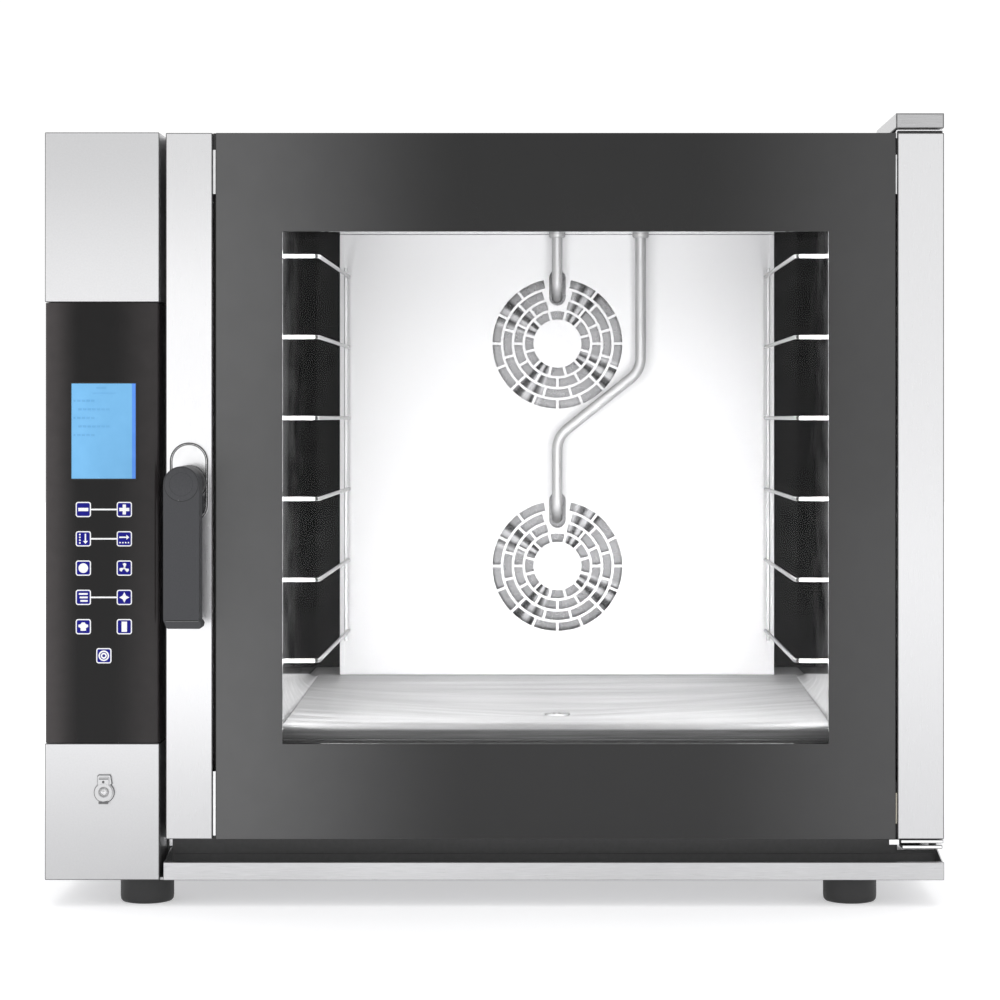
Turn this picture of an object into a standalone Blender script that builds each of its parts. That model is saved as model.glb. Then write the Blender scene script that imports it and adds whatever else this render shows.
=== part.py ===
"""Countertop combi steamer oven with six tray levels and a glass door hinged on the right.

Metres, +Z up, front towards -Y, origin at the middle of the bounding box's bottom.
"""
import math

import bmesh
import bpy
from mathutils import Matrix, Vector

# ---- driving dimensions ---------------------------------------------------------------------
WIDTH = 0.935
HEIGHT = 0.825
FRONT_Y = -0.465          # front of the door handle
BACK_Y = 0.465            # ends of the water inlet, vent and drain
FACE_Y = -0.400           # front of the door and of the control column
BODY_Y = -0.334           # front of the body's covers, behind the door
REAR_Y = 0.450            # outside of the rear cover
GAP = 0.0003              # clearance between touching pieces
SHEET = 0.002             # steel sheet
FOOT_HEIGHT = 0.0272
FOOT_RADIUS = 0.028
FOOT_X = (-0.3666, 0.3734)
FOOT_Y = (-0.358, 0.400)
SHELL_BOTTOM = 0.0275
SHELL_TOP = 0.805

COLUMN_RIGHT = -0.3484    # right edge of the control column
PANEL_BOTTOM = 0.170      # black control panel
PANEL_TOP = 0.628

CAVITY_X = 0.065          # middle of the cavity
CAVITY_HALF = 0.307
CAVITY_TOP = 0.735
CAVITY_LIP = 0.177        # floor height at the front
CAVITY_REAR_FLOOR = 0.190
CAVITY_BACK_Y = 0.285
DRAIN_Y = -0.082
DRAIN_Z = 0.165
BAFFLE_Y = 0.170
BAFFLE_HALF = 0.2685
INSULATION = 0.040

FAN_X = 0.0655
FAN_Z = {"upper": 0.600, "lower": 0.325}
WHEEL_RADIUS = 0.105
SHAFT_RADIUS = 0.007
SLOT_INNER = 0.0298       # inner radius of the first slot ring
SLOT_PITCH = 0.0134
SLOT_WIDTH = 0.0103
SLOT_RIB = 0.0032
TUBE_RADIUS = 0.0064
TUBE_Y = 0.156
TUBE_TOPS = (FAN_X - 0.0003, 0.168)
HEATER_RADIUS = 0.122
HEATER_ENDS = (FAN_X - 0.022, FAN_X + 0.022)
HEATER_DROP = -0.116

RACK_HALF = 0.256         # rails from the middle of the cavity
RACK_LEVELS = 6
RACK_LOWEST = 0.247
RACK_PITCH = 0.087
WIRE = 0.0025             # radius of the racks' wires
RACK_FRONT_Y = -0.300
RACK_REAR_Y = 0.138
RACK_PEGS = (0.300, 0.640)

DOOR_BOTTOM = 0.070
DOOR_BACK_Y = -0.342
LEFT_COLUMN_X = (-0.3418, -0.2932)
RIGHT_COLUMN_X = (0.419, 0.4675)
GLASS_X = (-0.2897, 0.417)
HINGE_AXIS = Vector((0.450, -0.371, 0.0))
HANDLE_AXIS = Vector((-0.3173, 0.0, 0.4405))
HANDLE_WIDTH = 0.0366
HANDLE_BOTTOM = 0.2935
LEVER_BACK_Y = -0.438     # rear face of the handle's lever
SPINDLE_RADIUS = 0.006
PIN_RADIUS = 0.005
LATCH_Y = (-0.3317, -0.3250)
GASKET_FRONT_Y = -0.3455

TRAY_LEFT = -0.3443
TRAY_TOP = 0.046
TRAY_RISE = 0.0075        # how far the tray's end plates rise towards the body
PROBE_X = -0.4054
PROBE_Z = 0.1203

VENT_PIPE = (0.300, 0.700)
VENT_RADIUS = 0.020
WATER_INLET = (0.1165, 0.7225)
INLET_RADIUS = 0.0130
VALVE_TOP = 0.742
DRAIN_RADIUS = 0.016
DRAIN_WALL = 0.003
DRAIN_PIPE_Z = 0.080
COOLING_FAN = (-0.385, 0.420)


# ---- materials ------------------------------------------------------------------------------
def material(name, color, roughness, metallic=0.0, alpha=1.0):
    made = bpy.data.materials.new(name)
    made.use_nodes = True
    shader = made.node_tree.nodes["Principled BSDF"]
    shader.inputs["Base Color"].default_value = (*color, 1.0)
    shader.inputs["Roughness"].default_value = roughness
    shader.inputs["Metallic"].default_value = metallic
    shader.inputs["Alpha"].default_value = alpha
    return made


def steel(name):
    return material(name, (0.78, 0.78, 0.77), 0.32, 1.0)


def polished(name):
    return material(name, (0.86, 0.86, 0.86), 0.15, 1.0)


def dark_steel(name):
    return material(name, (0.06, 0.06, 0.065), 0.35, 0.6)


def black_plastic(name):
    return material(name, (0.055, 0.057, 0.06), 0.5)


def gloss_black(name):
    return material(name, (0.02, 0.02, 0.022), 0.12)


def glass(name):
    return material(name, (0.35, 0.37, 0.38), 0.05, 0.0, 0.35)


def rubber(name):
    return material(name, (0.03, 0.03, 0.03), 0.7)


def wool(name):
    return material(name, (0.72, 0.68, 0.55), 0.95)


def board(name):
    return material(name, (0.05, 0.22, 0.10), 0.5)


# ---- shape helpers --------------------------------------------------------------------------
def lift(u, v, w, axis):
    """A point from its in-plane places u and v and its place w along axis X, Y or Z."""
    if axis == "X":
        return Vector((w, u, v))
    if axis == "Y":
        return Vector((u, w, v))
    return Vector((u, v, w))


def prism(outline, holes, axis, low, high):
    """A closed plate: an outline with holes, spread from low to high along an axis."""
    bm = bmesh.new()
    for loop in [outline, *holes]:
        verts = [bm.verts.new(lift(u, v, low, axis)) for u, v in loop]
        for a, b in zip(verts, verts[1:] + verts[:1]):
            bm.edges.new((a, b))
    bmesh.ops.triangle_fill(bm, use_beauty=True, use_dissolve=False, edges=bm.edges[:])
    grown = bmesh.ops.extrude_face_region(bm, geom=bm.faces[:])
    moved = [part for part in grown["geom"] if isinstance(part, bmesh.types.BMVert)]
    bmesh.ops.translate(bm, verts=moved, vec=lift(0, 0, high - low, axis))
    bmesh.ops.recalc_face_normals(bm, faces=bm.faces[:])
    return bm


def circle(u, v, radius, sides=24):
    turn = 2 * math.pi / sides
    return [(u + radius * math.cos(i * turn), v + radius * math.sin(i * turn)) for i in range(sides)]


def rectangle(u0, u1, v0, v1):
    return [(u0, v0), (u1, v0), (u1, v1), (u0, v1)]


def stadium(u, v0, v1, radius, steps=6):
    """An upright slot outline with round ends, from v0 to v1."""
    arc = [(radius * math.cos(math.pi * i / steps), radius * math.sin(math.pi * i / steps))
           for i in range(steps + 1)]
    top = [(u + across, v1 - radius + along) for across, along in arc]
    low = [(u - across, v0 + radius - along) for across, along in arc]
    return top + low


def arc_slot(u, v, inner, outer, start, end, steps=2):
    """A slot between two radii, with ribs of an even width left at both ends."""
    points = []
    for radius, order in ((inner, range(steps + 1)), (outer, range(steps, -1, -1))):
        rib = SLOT_RIB / 2 / radius
        for i in order:
            angle = start + rib + (end - start - 2 * rib) * i / steps
            points.append((u + radius * math.cos(angle), v + radius * math.sin(angle)))
    return points


def box_mesh(low, high):
    return prism(rectangle(low[0], high[0], low[1], high[1]), [], "Z", low[2], high[2])


def rod_mesh(center, radius, axis, low, high, sides=24):
    """A cylinder along an axis; center gives the two other places in X, Y, Z order."""
    return prism(circle(center[0], center[1], radius, sides), [], axis, low, high)


def turned_mesh(profile, x, z, sides):
    """A body turned about an axis along Y from (radius, y) points that start and end on the axis."""
    bm = bmesh.new()
    verts = [bm.verts.new((x + radius, y, z)) for radius, y in profile]
    for a, b in zip(verts, verts[1:]):
        bm.edges.new((a, b))
    bmesh.ops.spin(bm, geom=bm.verts[:] + bm.edges[:], cent=(x, 0, z), axis=(0, 1, 0),
                   angle=2 * math.pi, steps=sides, use_merge=True)
    bmesh.ops.remove_doubles(bm, verts=bm.verts[:], dist=1e-5)
    bmesh.ops.recalc_face_normals(bm, faces=bm.faces[:])
    return bm


def rounded_path(points, radius, steps=4):
    """The points with each inner corner turned into an arc."""
    path = [Vector(points[0])]
    for before, corner, after in zip(points, points[1:], points[2:]):
        corner = Vector(corner)
        back = (Vector(before) - corner).normalized()
        on = (Vector(after) - corner).normalized()
        half = back.angle(on) / 2
        center = corner + (back + on).normalized() * radius / math.sin(half)
        first = corner + back * radius / math.tan(half) - center
        last = corner + on * radius / math.tan(half) - center
        path += [center + first.slerp(last, i / steps) * radius for i in range(steps + 1)]
    return path + [Vector(points[-1])]


def tube_mesh(path, radius, detail=1):
    """A solid round rod along a path; more detail gives it more sides."""
    curve = bpy.data.curves.new("path", "CURVE")
    curve.dimensions = "3D"
    curve.bevel_depth = radius
    curve.bevel_resolution = detail
    curve.use_fill_caps = True
    spline = curve.splines.new("POLY")
    spline.points.add(len(path) - 1)
    for point, place in zip(spline.points, path):
        point.co = (*place, 1.0)
    guide = bpy.data.objects.new("guide", curve)
    bpy.context.scene.collection.objects.link(guide)
    bm = bmesh.new()
    bm.from_mesh(bpy.data.meshes.new_from_object(guide))
    bpy.data.objects.remove(guide)
    bmesh.ops.remove_doubles(bm, verts=bm.verts[:], dist=1e-6)
    bmesh.ops.recalc_face_normals(bm, faces=bm.faces[:])
    return bm


def make(name, bm, finish, origin=None, bevel=0.0):
    """An object from a closed mesh, with its origin moved to a joint's axis where it has one."""
    mesh = bpy.data.meshes.new(name)
    bm.to_mesh(mesh)
    bm.free()
    made = bpy.data.objects.new(name, mesh)
    bpy.context.scene.collection.objects.link(made)
    if origin is not None:
        mesh.transform(Matrix.Translation(-origin))
        made.location = origin
    if finish:
        mesh.materials.append(finish(name))
    mesh.shade_smooth()
    mesh.set_sharp_from_angle(angle=math.radians(35))
    if bevel:
        rounding = made.modifiers.new("rounding", "BEVEL")
        rounding.width = bevel
        rounding.segments = 1
        rounding.limit_method = "ANGLE"
        rounding.angle_limit = math.radians(60)
    return made


def combine(target, bm, operation):
    """Cut a shape from a piece, or join it on."""
    tool = make(f"{target.name}_tool", bm, None)
    tool.hide_render = True
    tool.display_type = "WIRE"
    step = target.modifiers.new(operation.lower(), "BOOLEAN")
    step.operation = operation
    step.object = tool
    step.solver = "EXACT"


def cut(target, *shapes):
    for bm in shapes:
        combine(target, bm, "DIFFERENCE")


def join(target, *shapes):
    for bm in shapes:
        combine(target, bm, "UNION")


def merged(*shapes):
    """Several separate closed shapes as one tool."""
    bm = bmesh.new()
    for part in shapes:
        mesh = bpy.data.meshes.new("part")
        part.to_mesh(mesh)
        part.free()
        bm.from_mesh(mesh)
        bpy.data.meshes.remove(mesh)
    return bm


# ---- body -----------------------------------------------------------------------------------
def make_base_and_feet():
    side = WIDTH / 2 - 0.0025
    front = FACE_Y + 0.004
    outline = [
        (COLUMN_RIGHT + GAP, front), (side, front), (side, REAR_Y - 0.003),
        (-side, REAR_Y - 0.003), (-side, BODY_Y + GAP), (COLUMN_RIGHT + GAP, BODY_Y + GAP),
    ]
    make("base_pan", prism(outline, [], "Z", SHELL_BOTTOM, SHELL_BOTTOM + 0.0025), steel)
    for row, y in zip(("front", "rear"), FOOT_Y):
        for side_name, x in zip(("left", "right"), FOOT_X):
            foot = rod_mesh((x, y), FOOT_RADIUS, "Z", 0.0, FOOT_HEIGHT, 32)
            make(f"foot_{row}_{side_name}", foot, rubber, bevel=0.0015)


def make_covers():
    half = WIDTH / 2
    low = SHELL_BOTTOM + 0.0028
    high = SHELL_TOP - SHEET - GAP
    body = rectangle(BODY_Y + GAP, REAR_Y, low, high)
    make("left_side_cover", prism(body, [], "X", -half, -half + SHEET), steel)
    make("right_side_cover", prism(body, [], "X", half - SHEET, half), steel)
    top = rectangle(-half, half, BODY_Y + GAP, REAR_Y)
    make("top_cover", prism(top, [], "Z", SHELL_TOP - SHEET, SHELL_TOP), steel)
    make_rear_cover(half - SHEET - GAP, low, high)


def make_rear_cover(half, low, high):
    """The rear cover with its louvre rows, fan grille and pipe holes."""
    holes = [circle(*VENT_PIPE, VENT_RADIUS + 0.001, 20)]
    holes.append(circle(*WATER_INLET, INLET_RADIUS + 0.0015, 20))
    holes.append(circle(CAVITY_X, DRAIN_PIPE_Z, DRAIN_RADIUS + 0.001, 20))
    for z in FAN_Z.values():
        for row in range(-3, 4):
            middle = z + row * 0.022
            holes.append(rectangle(FAN_X - 0.06, FAN_X + 0.06, middle - 0.004, middle + 0.004))
    x, z = COOLING_FAN
    for row in range(-3, 4):
        middle = z + row * 0.014
        reach = 0.052 * math.sqrt(1 - (row / 4.2) ** 2)
        holes.append(rectangle(x - reach, x + reach, middle - 0.004, middle + 0.004))
    plate = prism(rectangle(-half, half, low, high), holes, "Y", REAR_Y - SHEET, REAR_Y)
    make("rear_cover", plate, steel)


def make_front_frame():
    """The dark frame behind the door, with the cavity's mouth."""
    outline = rectangle(COLUMN_RIGHT + GAP, WIDTH / 2, SHELL_BOTTOM + 0.0028, SHELL_TOP - SHEET - GAP)
    mouth = rectangle(CAVITY_X - CAVITY_HALF, CAVITY_X + CAVITY_HALF, CAVITY_LIP, CAVITY_TOP)
    x, z = HANDLE_AXIS.x, HANDLE_AXIS.z
    latch_slot = rectangle(x - 0.022, x + 0.022, z - 0.022, z + 0.022)
    make("front_frame", prism(outline, [mouth, latch_slot], "Y", BODY_Y - 0.0025, BODY_Y), dark_steel)


def make_column():
    """Upper and lower steel panels and the black control panel between them, all open at the back."""
    left = -WIDTH / 2
    spans = {
        "upper_column_panel": (PANEL_TOP + GAP, SHELL_TOP, steel),
        "control_panel": (PANEL_BOTTOM, PANEL_TOP, gloss_black),
        "lower_column_panel": (SHELL_BOTTOM, PANEL_BOTTOM - GAP, steel),
    }
    for name, (low, high, finish) in spans.items():
        wall = 0.003 if name == "control_panel" else SHEET
        shell = make(name, box_mesh((left, FACE_Y, low), (COLUMN_RIGHT, BODY_Y, high)), finish)
        inner_low = (left + wall, FACE_Y + wall, low + wall)
        inner_high = (COLUMN_RIGHT - wall, BODY_Y + 0.01, high - wall)
        cut(shell, box_mesh(inner_low, inner_high))
        if name == "lower_column_panel":
            cut(shell, rod_mesh((PROBE_X, PROBE_Z), 0.0092, "Y", FACE_Y - 0.01, FACE_Y + 0.01, 20))


def make_electronics():
    display = make("display_module", box_mesh((-0.446, -0.3965, 0.438), (-0.368, -0.388, 0.549)), board)
    join(display, box_mesh((-0.435, -0.3885, 0.455), (-0.380, -0.380, 0.530)))
    touch = make("touch_board", box_mesh((-0.456, -0.3965, 0.240), (-0.360, -0.3945, 0.430)), board)
    join(touch, box_mesh((-0.440, -0.395, 0.300), (-0.400, -0.388, 0.330)))
    power = make("power_board", box_mesh((-0.4635, -0.200, 0.250), (-0.4615, 0.150, 0.600)), board)
    relays = [box_mesh((-0.462, y, 0.30), (-0.440, y + 0.03, 0.33))
              for y in (-0.170 + 0.05 * i for i in range(6))]
    blocks = [box_mesh((-0.462, -0.150, 0.45), (-0.415, -0.080, 0.53)),
              box_mesh((-0.462, 0.020, 0.45), (-0.430, 0.110, 0.56))]
    join(power, merged(*relays, *blocks))


def make_cooling_fan():
    """The fan that cools the electronics, a square frame with a turning rotor."""
    x, z = COOLING_FAN
    half = 0.060
    y0, y1 = REAR_Y - 0.028, REAR_Y - SHEET - GAP
    mouth = circle(x, z, 0.0565, 32)
    frame = prism(rectangle(x - half, x + half, z - half, z + half), [mouth], "Y", y0, y1)
    made = make("cooling_fan_frame", frame, black_plastic)
    bar = prism(rectangle(x - 0.058, x + 0.058, z - 0.006, z + 0.006), [], "Y", y0, y0 + 0.003)
    join(made, bar, prism(circle(x, z, 0.018, 16), [], "Y", y0 - 0.001, y0 + 0.0035))
    rotor = rod_mesh((x, z), 0.020, "Y", y0 + 0.0045, y1 - 0.002, 24)
    turning = make("cooling_fan_rotor", rotor, black_plastic, origin=Vector((x, (y0 + y1) / 2, z)))
    blades = []
    for i in range(7):
        turn = Matrix.Rotation(2 * math.pi * i / 7, 4, "Y") @ Matrix.Rotation(math.radians(35), 4, "Z")
        blade = box_mesh((-0.0010, -0.008, 0.018), (0.0010, 0.008, 0.053))
        blade.transform(Matrix.Translation((x, (y0 + y1) / 2 + 0.001, z)) @ turn)
        blades.append(blade)
    join(turning, merged(*blades))


# ---- cavity ---------------------------------------------------------------------------------
def make_cavity():
    left, right = CAVITY_X - CAVITY_HALF, CAVITY_X + CAVITY_HALF
    front = BODY_Y + GAP
    low = DRAIN_Z - 0.005
    top = CAVITY_TOP
    side = rectangle(front, CAVITY_BACK_Y - GAP, low, top + SHEET)
    for name, inner, outer in (("left", left, left - SHEET), ("right", right, right + SHEET)):
        plate = prism(side, [], "X", min(inner, outer), max(inner, outer))
        wall = make(f"cavity_{name}_wall", plate, dark_steel)
        way = 1 if name == "left" else -1
        reach = sorted((inner - way * 0.001, inner + way * 0.009))
        pegs = [prism(circle(RACK_FRONT_Y - 0.0075, z, 0.004, 12), [], "X", *reach) for z in RACK_PEGS]
        join(wall, merged(*pegs))
    ceiling = rectangle(left + GAP, right - GAP, front, CAVITY_BACK_Y - GAP)
    ports = [circle(x, TUBE_Y, TUBE_RADIUS + 0.0006, 16) for x in TUBE_TOPS]
    make("cavity_ceiling", prism(ceiling, ports, "Z", top, top + SHEET), polished)
    back = rectangle(left - SHEET, right + SHEET, low, top + SHEET)
    ports = [circle(FAN_X, z, 0.014, 20) for z in FAN_Z.values()]
    ports.append(circle(*VENT_PIPE, VENT_RADIUS + 0.001, 20))
    ports += [circle(x, z + HEATER_DROP, 0.006, 12) for z in FAN_Z.values() for x in HEATER_ENDS]
    make("cavity_back_wall", prism(back, ports, "Y", CAVITY_BACK_Y, CAVITY_BACK_Y + SHEET), polished)
    make_cavity_floor(left + GAP, right - GAP, front, CAVITY_BACK_Y - GAP)


def make_cavity_floor(left, right, front, back):
    """The floor falls from all four sides to the drain."""
    bm = bmesh.new()
    rim = []
    count = 24
    for i in range(count):
        angle = 2 * math.pi * i / count
        along = Vector((math.cos(angle), math.sin(angle)))
        reach_x = (right if along.x > 0 else left) - CAVITY_X
        reach_y = (back if along.y > 0 else front) - DRAIN_Y
        grow = max(abs(along.x / reach_x), abs(along.y / reach_y))
        x, y = CAVITY_X + along.x / grow, DRAIN_Y + along.y / grow
        z = CAVITY_LIP + (CAVITY_REAR_FLOOR - CAVITY_LIP) * min(1.0, (y - front) / (BAFFLE_Y - front))
        rim.append([x, y, z])
    for x in (left, right):
        for y, z in ((front, CAVITY_LIP), (back, CAVITY_REAR_FLOOR)):
            nearest = min(rim, key=lambda p: (p[0] - x) ** 2 + (p[1] - y) ** 2)
            nearest[:] = [x, y, z]
    outer = [bm.verts.new(point) for point in rim]
    inner = [bm.verts.new((CAVITY_X + u, DRAIN_Y + v, DRAIN_Z)) for u, v in circle(0, 0, 0.014, count)]
    for i in range(count):
        j = (i + 1) % count
        bm.faces.new((outer[i], outer[j], inner[j], inner[i]))
    bmesh.ops.recalc_face_normals(bm, faces=bm.faces[:])
    floor = make("cavity_floor", bm, polished)
    thick = floor.modifiers.new("sheet", "SOLIDIFY")
    thick.thickness = 0.0015
    thick.offset = -1.0


def make_insulation():
    """A sleeve round the cavity and a pad behind it."""
    reach = CAVITY_HALF + SHEET + 0.0005
    low, high = DRAIN_Z - 0.006, CAVITY_TOP + SHEET + 0.0005
    front, back = BODY_Y + GAP, CAVITY_BACK_Y - GAP
    inner = rectangle(CAVITY_X - reach, CAVITY_X + reach, low, high)
    outer = rectangle(CAVITY_X - reach - INSULATION, CAVITY_X + reach + INSULATION,
                      low - INSULATION, high + INSULATION)
    sleeve = make("insulation_sleeve", prism(outer, [inner], "Y", front, back), wool)
    bore = TUBE_RADIUS + 0.001
    ports = [rod_mesh((x, TUBE_Y), bore, "Z", high - 0.01, high + 0.06, 16) for x in TUBE_TOPS]
    ports.append(rod_mesh((CAVITY_X, DRAIN_Y), DRAIN_RADIUS + 0.001, "Z", low - 0.06, low + 0.01, 20))
    cut(sleeve, merged(*ports))
    ports = [circle(FAN_X, z, 0.020, 20) for z in FAN_Z.values()]
    ports.append(circle(*VENT_PIPE, VENT_RADIUS + 0.001, 20))
    ports += [circle(x, z + HEATER_DROP, 0.008, 12) for z in FAN_Z.values() for x in HEATER_ENDS]
    start = CAVITY_BACK_Y + SHEET + GAP
    make("insulation_pad", prism(outer, ports, "Y", start, start + INSULATION), wool)


def slot_ring_angles():
    """For each ring of slots, the angles of its ribs; the upper tube's oval hole breaks rings 2 to 4."""
    full = [math.radians(15 + 30 * i) for i in range(13)]

    def split(lower_slots, upper_slots, half_gap):
        top = math.pi / 2
        reach = top - half_gap
        right = [reach * i / upper_slots for i in range(upper_slots + 1)]
        left = [top + half_gap + reach * i / upper_slots for i in range(upper_slots + 1)]
        lower = [math.pi + math.pi * i / lower_slots for i in range(lower_slots + 1)]
        return [right, left, lower]

    ring_three = [[angle for angle in full if angle > 1.8], full[:3]]
    return [[full], split(6, 3, math.radians(13)), ring_three, split(8, 3, math.radians(11))]


def grille_slots(x, z):
    slots = []
    for ring, runs in enumerate(slot_ring_angles()):
        inner = SLOT_INNER + ring * SLOT_PITCH
        for run in runs:
            for start, end in zip(run, run[1:]):
                slots.append(arc_slot(x, z, inner, inner + SLOT_WIDTH, start, end))
    slots.append(stadium(x, z + 0.0470, z + 0.0915, 0.0102, 5))
    return slots


def make_baffle():
    outline = rectangle(CAVITY_X - BAFFLE_HALF, CAVITY_X + BAFFLE_HALF,
                        CAVITY_REAR_FLOOR + 0.0015, CAVITY_TOP - GAP)
    slots = [slot for z in FAN_Z.values() for slot in grille_slots(FAN_X, z)]
    make("fan_baffle", prism(outline, slots, "Y", BAFFLE_Y, BAFFLE_Y + SHEET), polished)


def wheel_blades(z):
    """Sixteen blades that lean back round a wheel whose middle is at height z."""
    blades = []
    middle = Matrix.Translation((0, 0, 0.081))
    lean = middle @ Matrix.Rotation(math.radians(25), 4, "Y") @ middle.inverted()
    for i in range(16):
        blade = box_mesh((-0.0012, 0.190, 0.062), (0.0012, 0.2475, 0.100))
        around = Matrix.Rotation(2 * math.pi * i / 16, 4, "Y")
        blade.transform(Matrix.Translation((FAN_X, 0, z)) @ around @ lean)
        blades.append(blade)
    return blades


def motor_profile():
    """Half of a motor's section, with the shaft's bore and a mounting flange at its front."""
    bore = SHAFT_RADIUS + 0.0006
    return [(0, 0.362), (bore, 0.362), (bore, 0.331), (0.068, 0.331), (0.068, 0.336), (0.055, 0.337),
            (0.055, 0.366), (0.050, 0.368), (0.050, 0.436), (0.046, 0.440), (0, 0.440)]


def make_fans():
    for place, z in FAN_Z.items():
        origin = Vector((FAN_X, 0.220, z))
        bore = circle(FAN_X, z, SHAFT_RADIUS + 0.0002, 16)
        disc = prism(circle(FAN_X, z, WHEEL_RADIUS, 40), [bore], "Y", 0.246, 0.249)
        wheel = make(f"fan_wheel_{place}", disc, polished, origin=origin)
        join(wheel, merged(*wheel_blades(z)))
        join(wheel, prism(circle(FAN_X, z, 0.018, 16), [bore], "Y", 0.230, 0.2465))
        shaft = rod_mesh((FAN_X, z), SHAFT_RADIUS, "Y", 0.222, 0.360, 16)
        make(f"fan_shaft_{place}", shaft, steel, origin=origin)
        make(f"fan_motor_{place}", turned_mesh(motor_profile(), FAN_X, z, 32), dark_steel)


def make_heaters():
    """A ring element round each wheel, with both ends led back through the rear wall."""
    steps = 28
    for place, z in FAN_Z.items():
        ring = []
        for i in range(steps + 1):
            angle = math.radians(-90 + 9) + math.radians(342) * i / steps
            across, along = HEATER_RADIUS * math.cos(angle), HEATER_RADIUS * math.sin(angle)
            ring.append(Vector((FAN_X + across, 0.228, z + along)))
        lead_in = [Vector((HEATER_ENDS[1], y, z + HEATER_DROP)) for y in (CAVITY_BACK_Y + 0.044, 0.266)]
        lead_out = [Vector((HEATER_ENDS[0], y, z + HEATER_DROP)) for y in (0.266, CAVITY_BACK_Y + 0.044)]
        path = lead_in + ring + lead_out
        make(f"heater_{place}", tube_mesh(path, 0.004), dark_steel)


def make_steam_tubes():
    """Water lines from the valve, over the cavity, down to the fans' centres."""
    top = CAVITY_TOP + 0.053
    valve_y = 0.412
    end_y = BAFFLE_Y + 0.013
    x1, x2 = TUBE_TOPS
    upper = [(x1, valve_y, VALVE_TOP + GAP), (x1, valve_y, top), (x1, TUBE_Y, top),
             (x1, TUBE_Y, 0.672), (x1, end_y, 0.656)]
    lower = [(x2, valve_y, VALVE_TOP + GAP), (x2, valve_y, top), (x2, TUBE_Y, top),
             (x2, TUBE_Y, 0.5665), (x1, TUBE_Y, 0.4845), (x1, TUBE_Y, 0.399), (x1, end_y, 0.383)]
    make("steam_tube_upper", tube_mesh(rounded_path(upper, 0.010, 3), TUBE_RADIUS, 2), polished)
    bends = rounded_path(lower[:4], 0.010, 3)[:-1]
    sweep = rounded_path(lower[2:6], 0.032, 5)[1:-1]
    tail = rounded_path(lower[4:], 0.010, 3)[1:]
    make("steam_tube_lower", tube_mesh(bends + sweep + tail, TUBE_RADIUS, 2), polished)


def make_services():
    """Water valve, drain and vent behind the cavity."""
    valve = make("water_valve", box_mesh((0.045, 0.395, 0.705), (0.188, 0.430, VALVE_TOP)), black_plastic)
    join(valve, rod_mesh(WATER_INLET, INLET_RADIUS, "Y", 0.425, BACK_Y, 20))
    start = (CAVITY_X, DRAIN_Y, DRAIN_Z - 0.0025)
    corner = (CAVITY_X, DRAIN_Y, DRAIN_PIPE_Z)
    path = rounded_path([start, corner, (CAVITY_X, BACK_Y, DRAIN_PIPE_Z)], 0.030, 4)
    drain = make("drain_pipe", tube_mesh(path, DRAIN_RADIUS, 3), steel)
    bore = DRAIN_RADIUS - DRAIN_WALL
    cut(drain, rod_mesh((CAVITY_X, DRAIN_Y), bore, "Z", DRAIN_Z - 0.04, DRAIN_Z + 0.01, 16))
    cut(drain, rod_mesh((CAVITY_X, DRAIN_PIPE_Z), bore, "Y", BACK_Y - 0.05, BACK_Y + 0.01, 16))
    x, z = VENT_PIPE
    bore = circle(x, z, VENT_RADIUS - 0.0025, 20)
    ring = prism(circle(x, z, VENT_RADIUS, 20), [bore], "Y", CAVITY_BACK_Y - 0.004, BACK_Y)
    make("vent_pipe", ring, steel)


def make_racks():
    """A wire rack on each side: six rails, bent outwards at the front, on two upright wires."""
    upright_x = CAVITY_HALF - WIRE - GAP
    top = RACK_LOWEST + RACK_PITCH * (RACK_LEVELS - 1)
    for name, way in (("left", -1), ("right", 1)):
        front_x = CAVITY_X + way * upright_x
        rail_x = CAVITY_X + way * RACK_HALF
        rear_x = rail_x + way * WIRE * 1.2
        low = RACK_LOWEST - 0.012
        front = tube_mesh([(front_x, RACK_FRONT_Y, low), (front_x, RACK_FRONT_Y, top + 0.012)], WIRE)
        rack = make(f"rack_{name}", front, polished)
        rear = tube_mesh([(rear_x, RACK_REAR_Y, low), (rear_x, RACK_REAR_Y, top + 0.010)], WIRE)
        rails = []
        for level in range(RACK_LEVELS):
            z = RACK_LOWEST + RACK_PITCH * level
            corner = (rail_x, RACK_FRONT_Y + WIRE * 0.8, z)
            ends = [(front_x, corner[1], z), corner, (rail_x, RACK_REAR_Y + 0.010, z)]
            rails.append(tube_mesh(rounded_path(ends, 0.008, 3), WIRE))
        join(rack, merged(*rails))
        join(rack, rear)


# ---- door -----------------------------------------------------------------------------------
def make_door():
    top = SHELL_TOP - 0.0005
    make_door_columns(top)
    x0, x1 = GLASS_X
    pane = box_mesh((x0, FACE_Y + 0.0005, DOOR_BOTTOM), (x1, FACE_Y + 0.0055, top))
    make("door_outer_glass", pane, glass, origin=HINGE_AXIS)
    pane = box_mesh((-0.275, -0.351, 0.135), (0.405, -0.346, 0.765))
    make("door_inner_glass", pane, glass, origin=HINGE_AXIS)
    make_door_rails(top)


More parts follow.
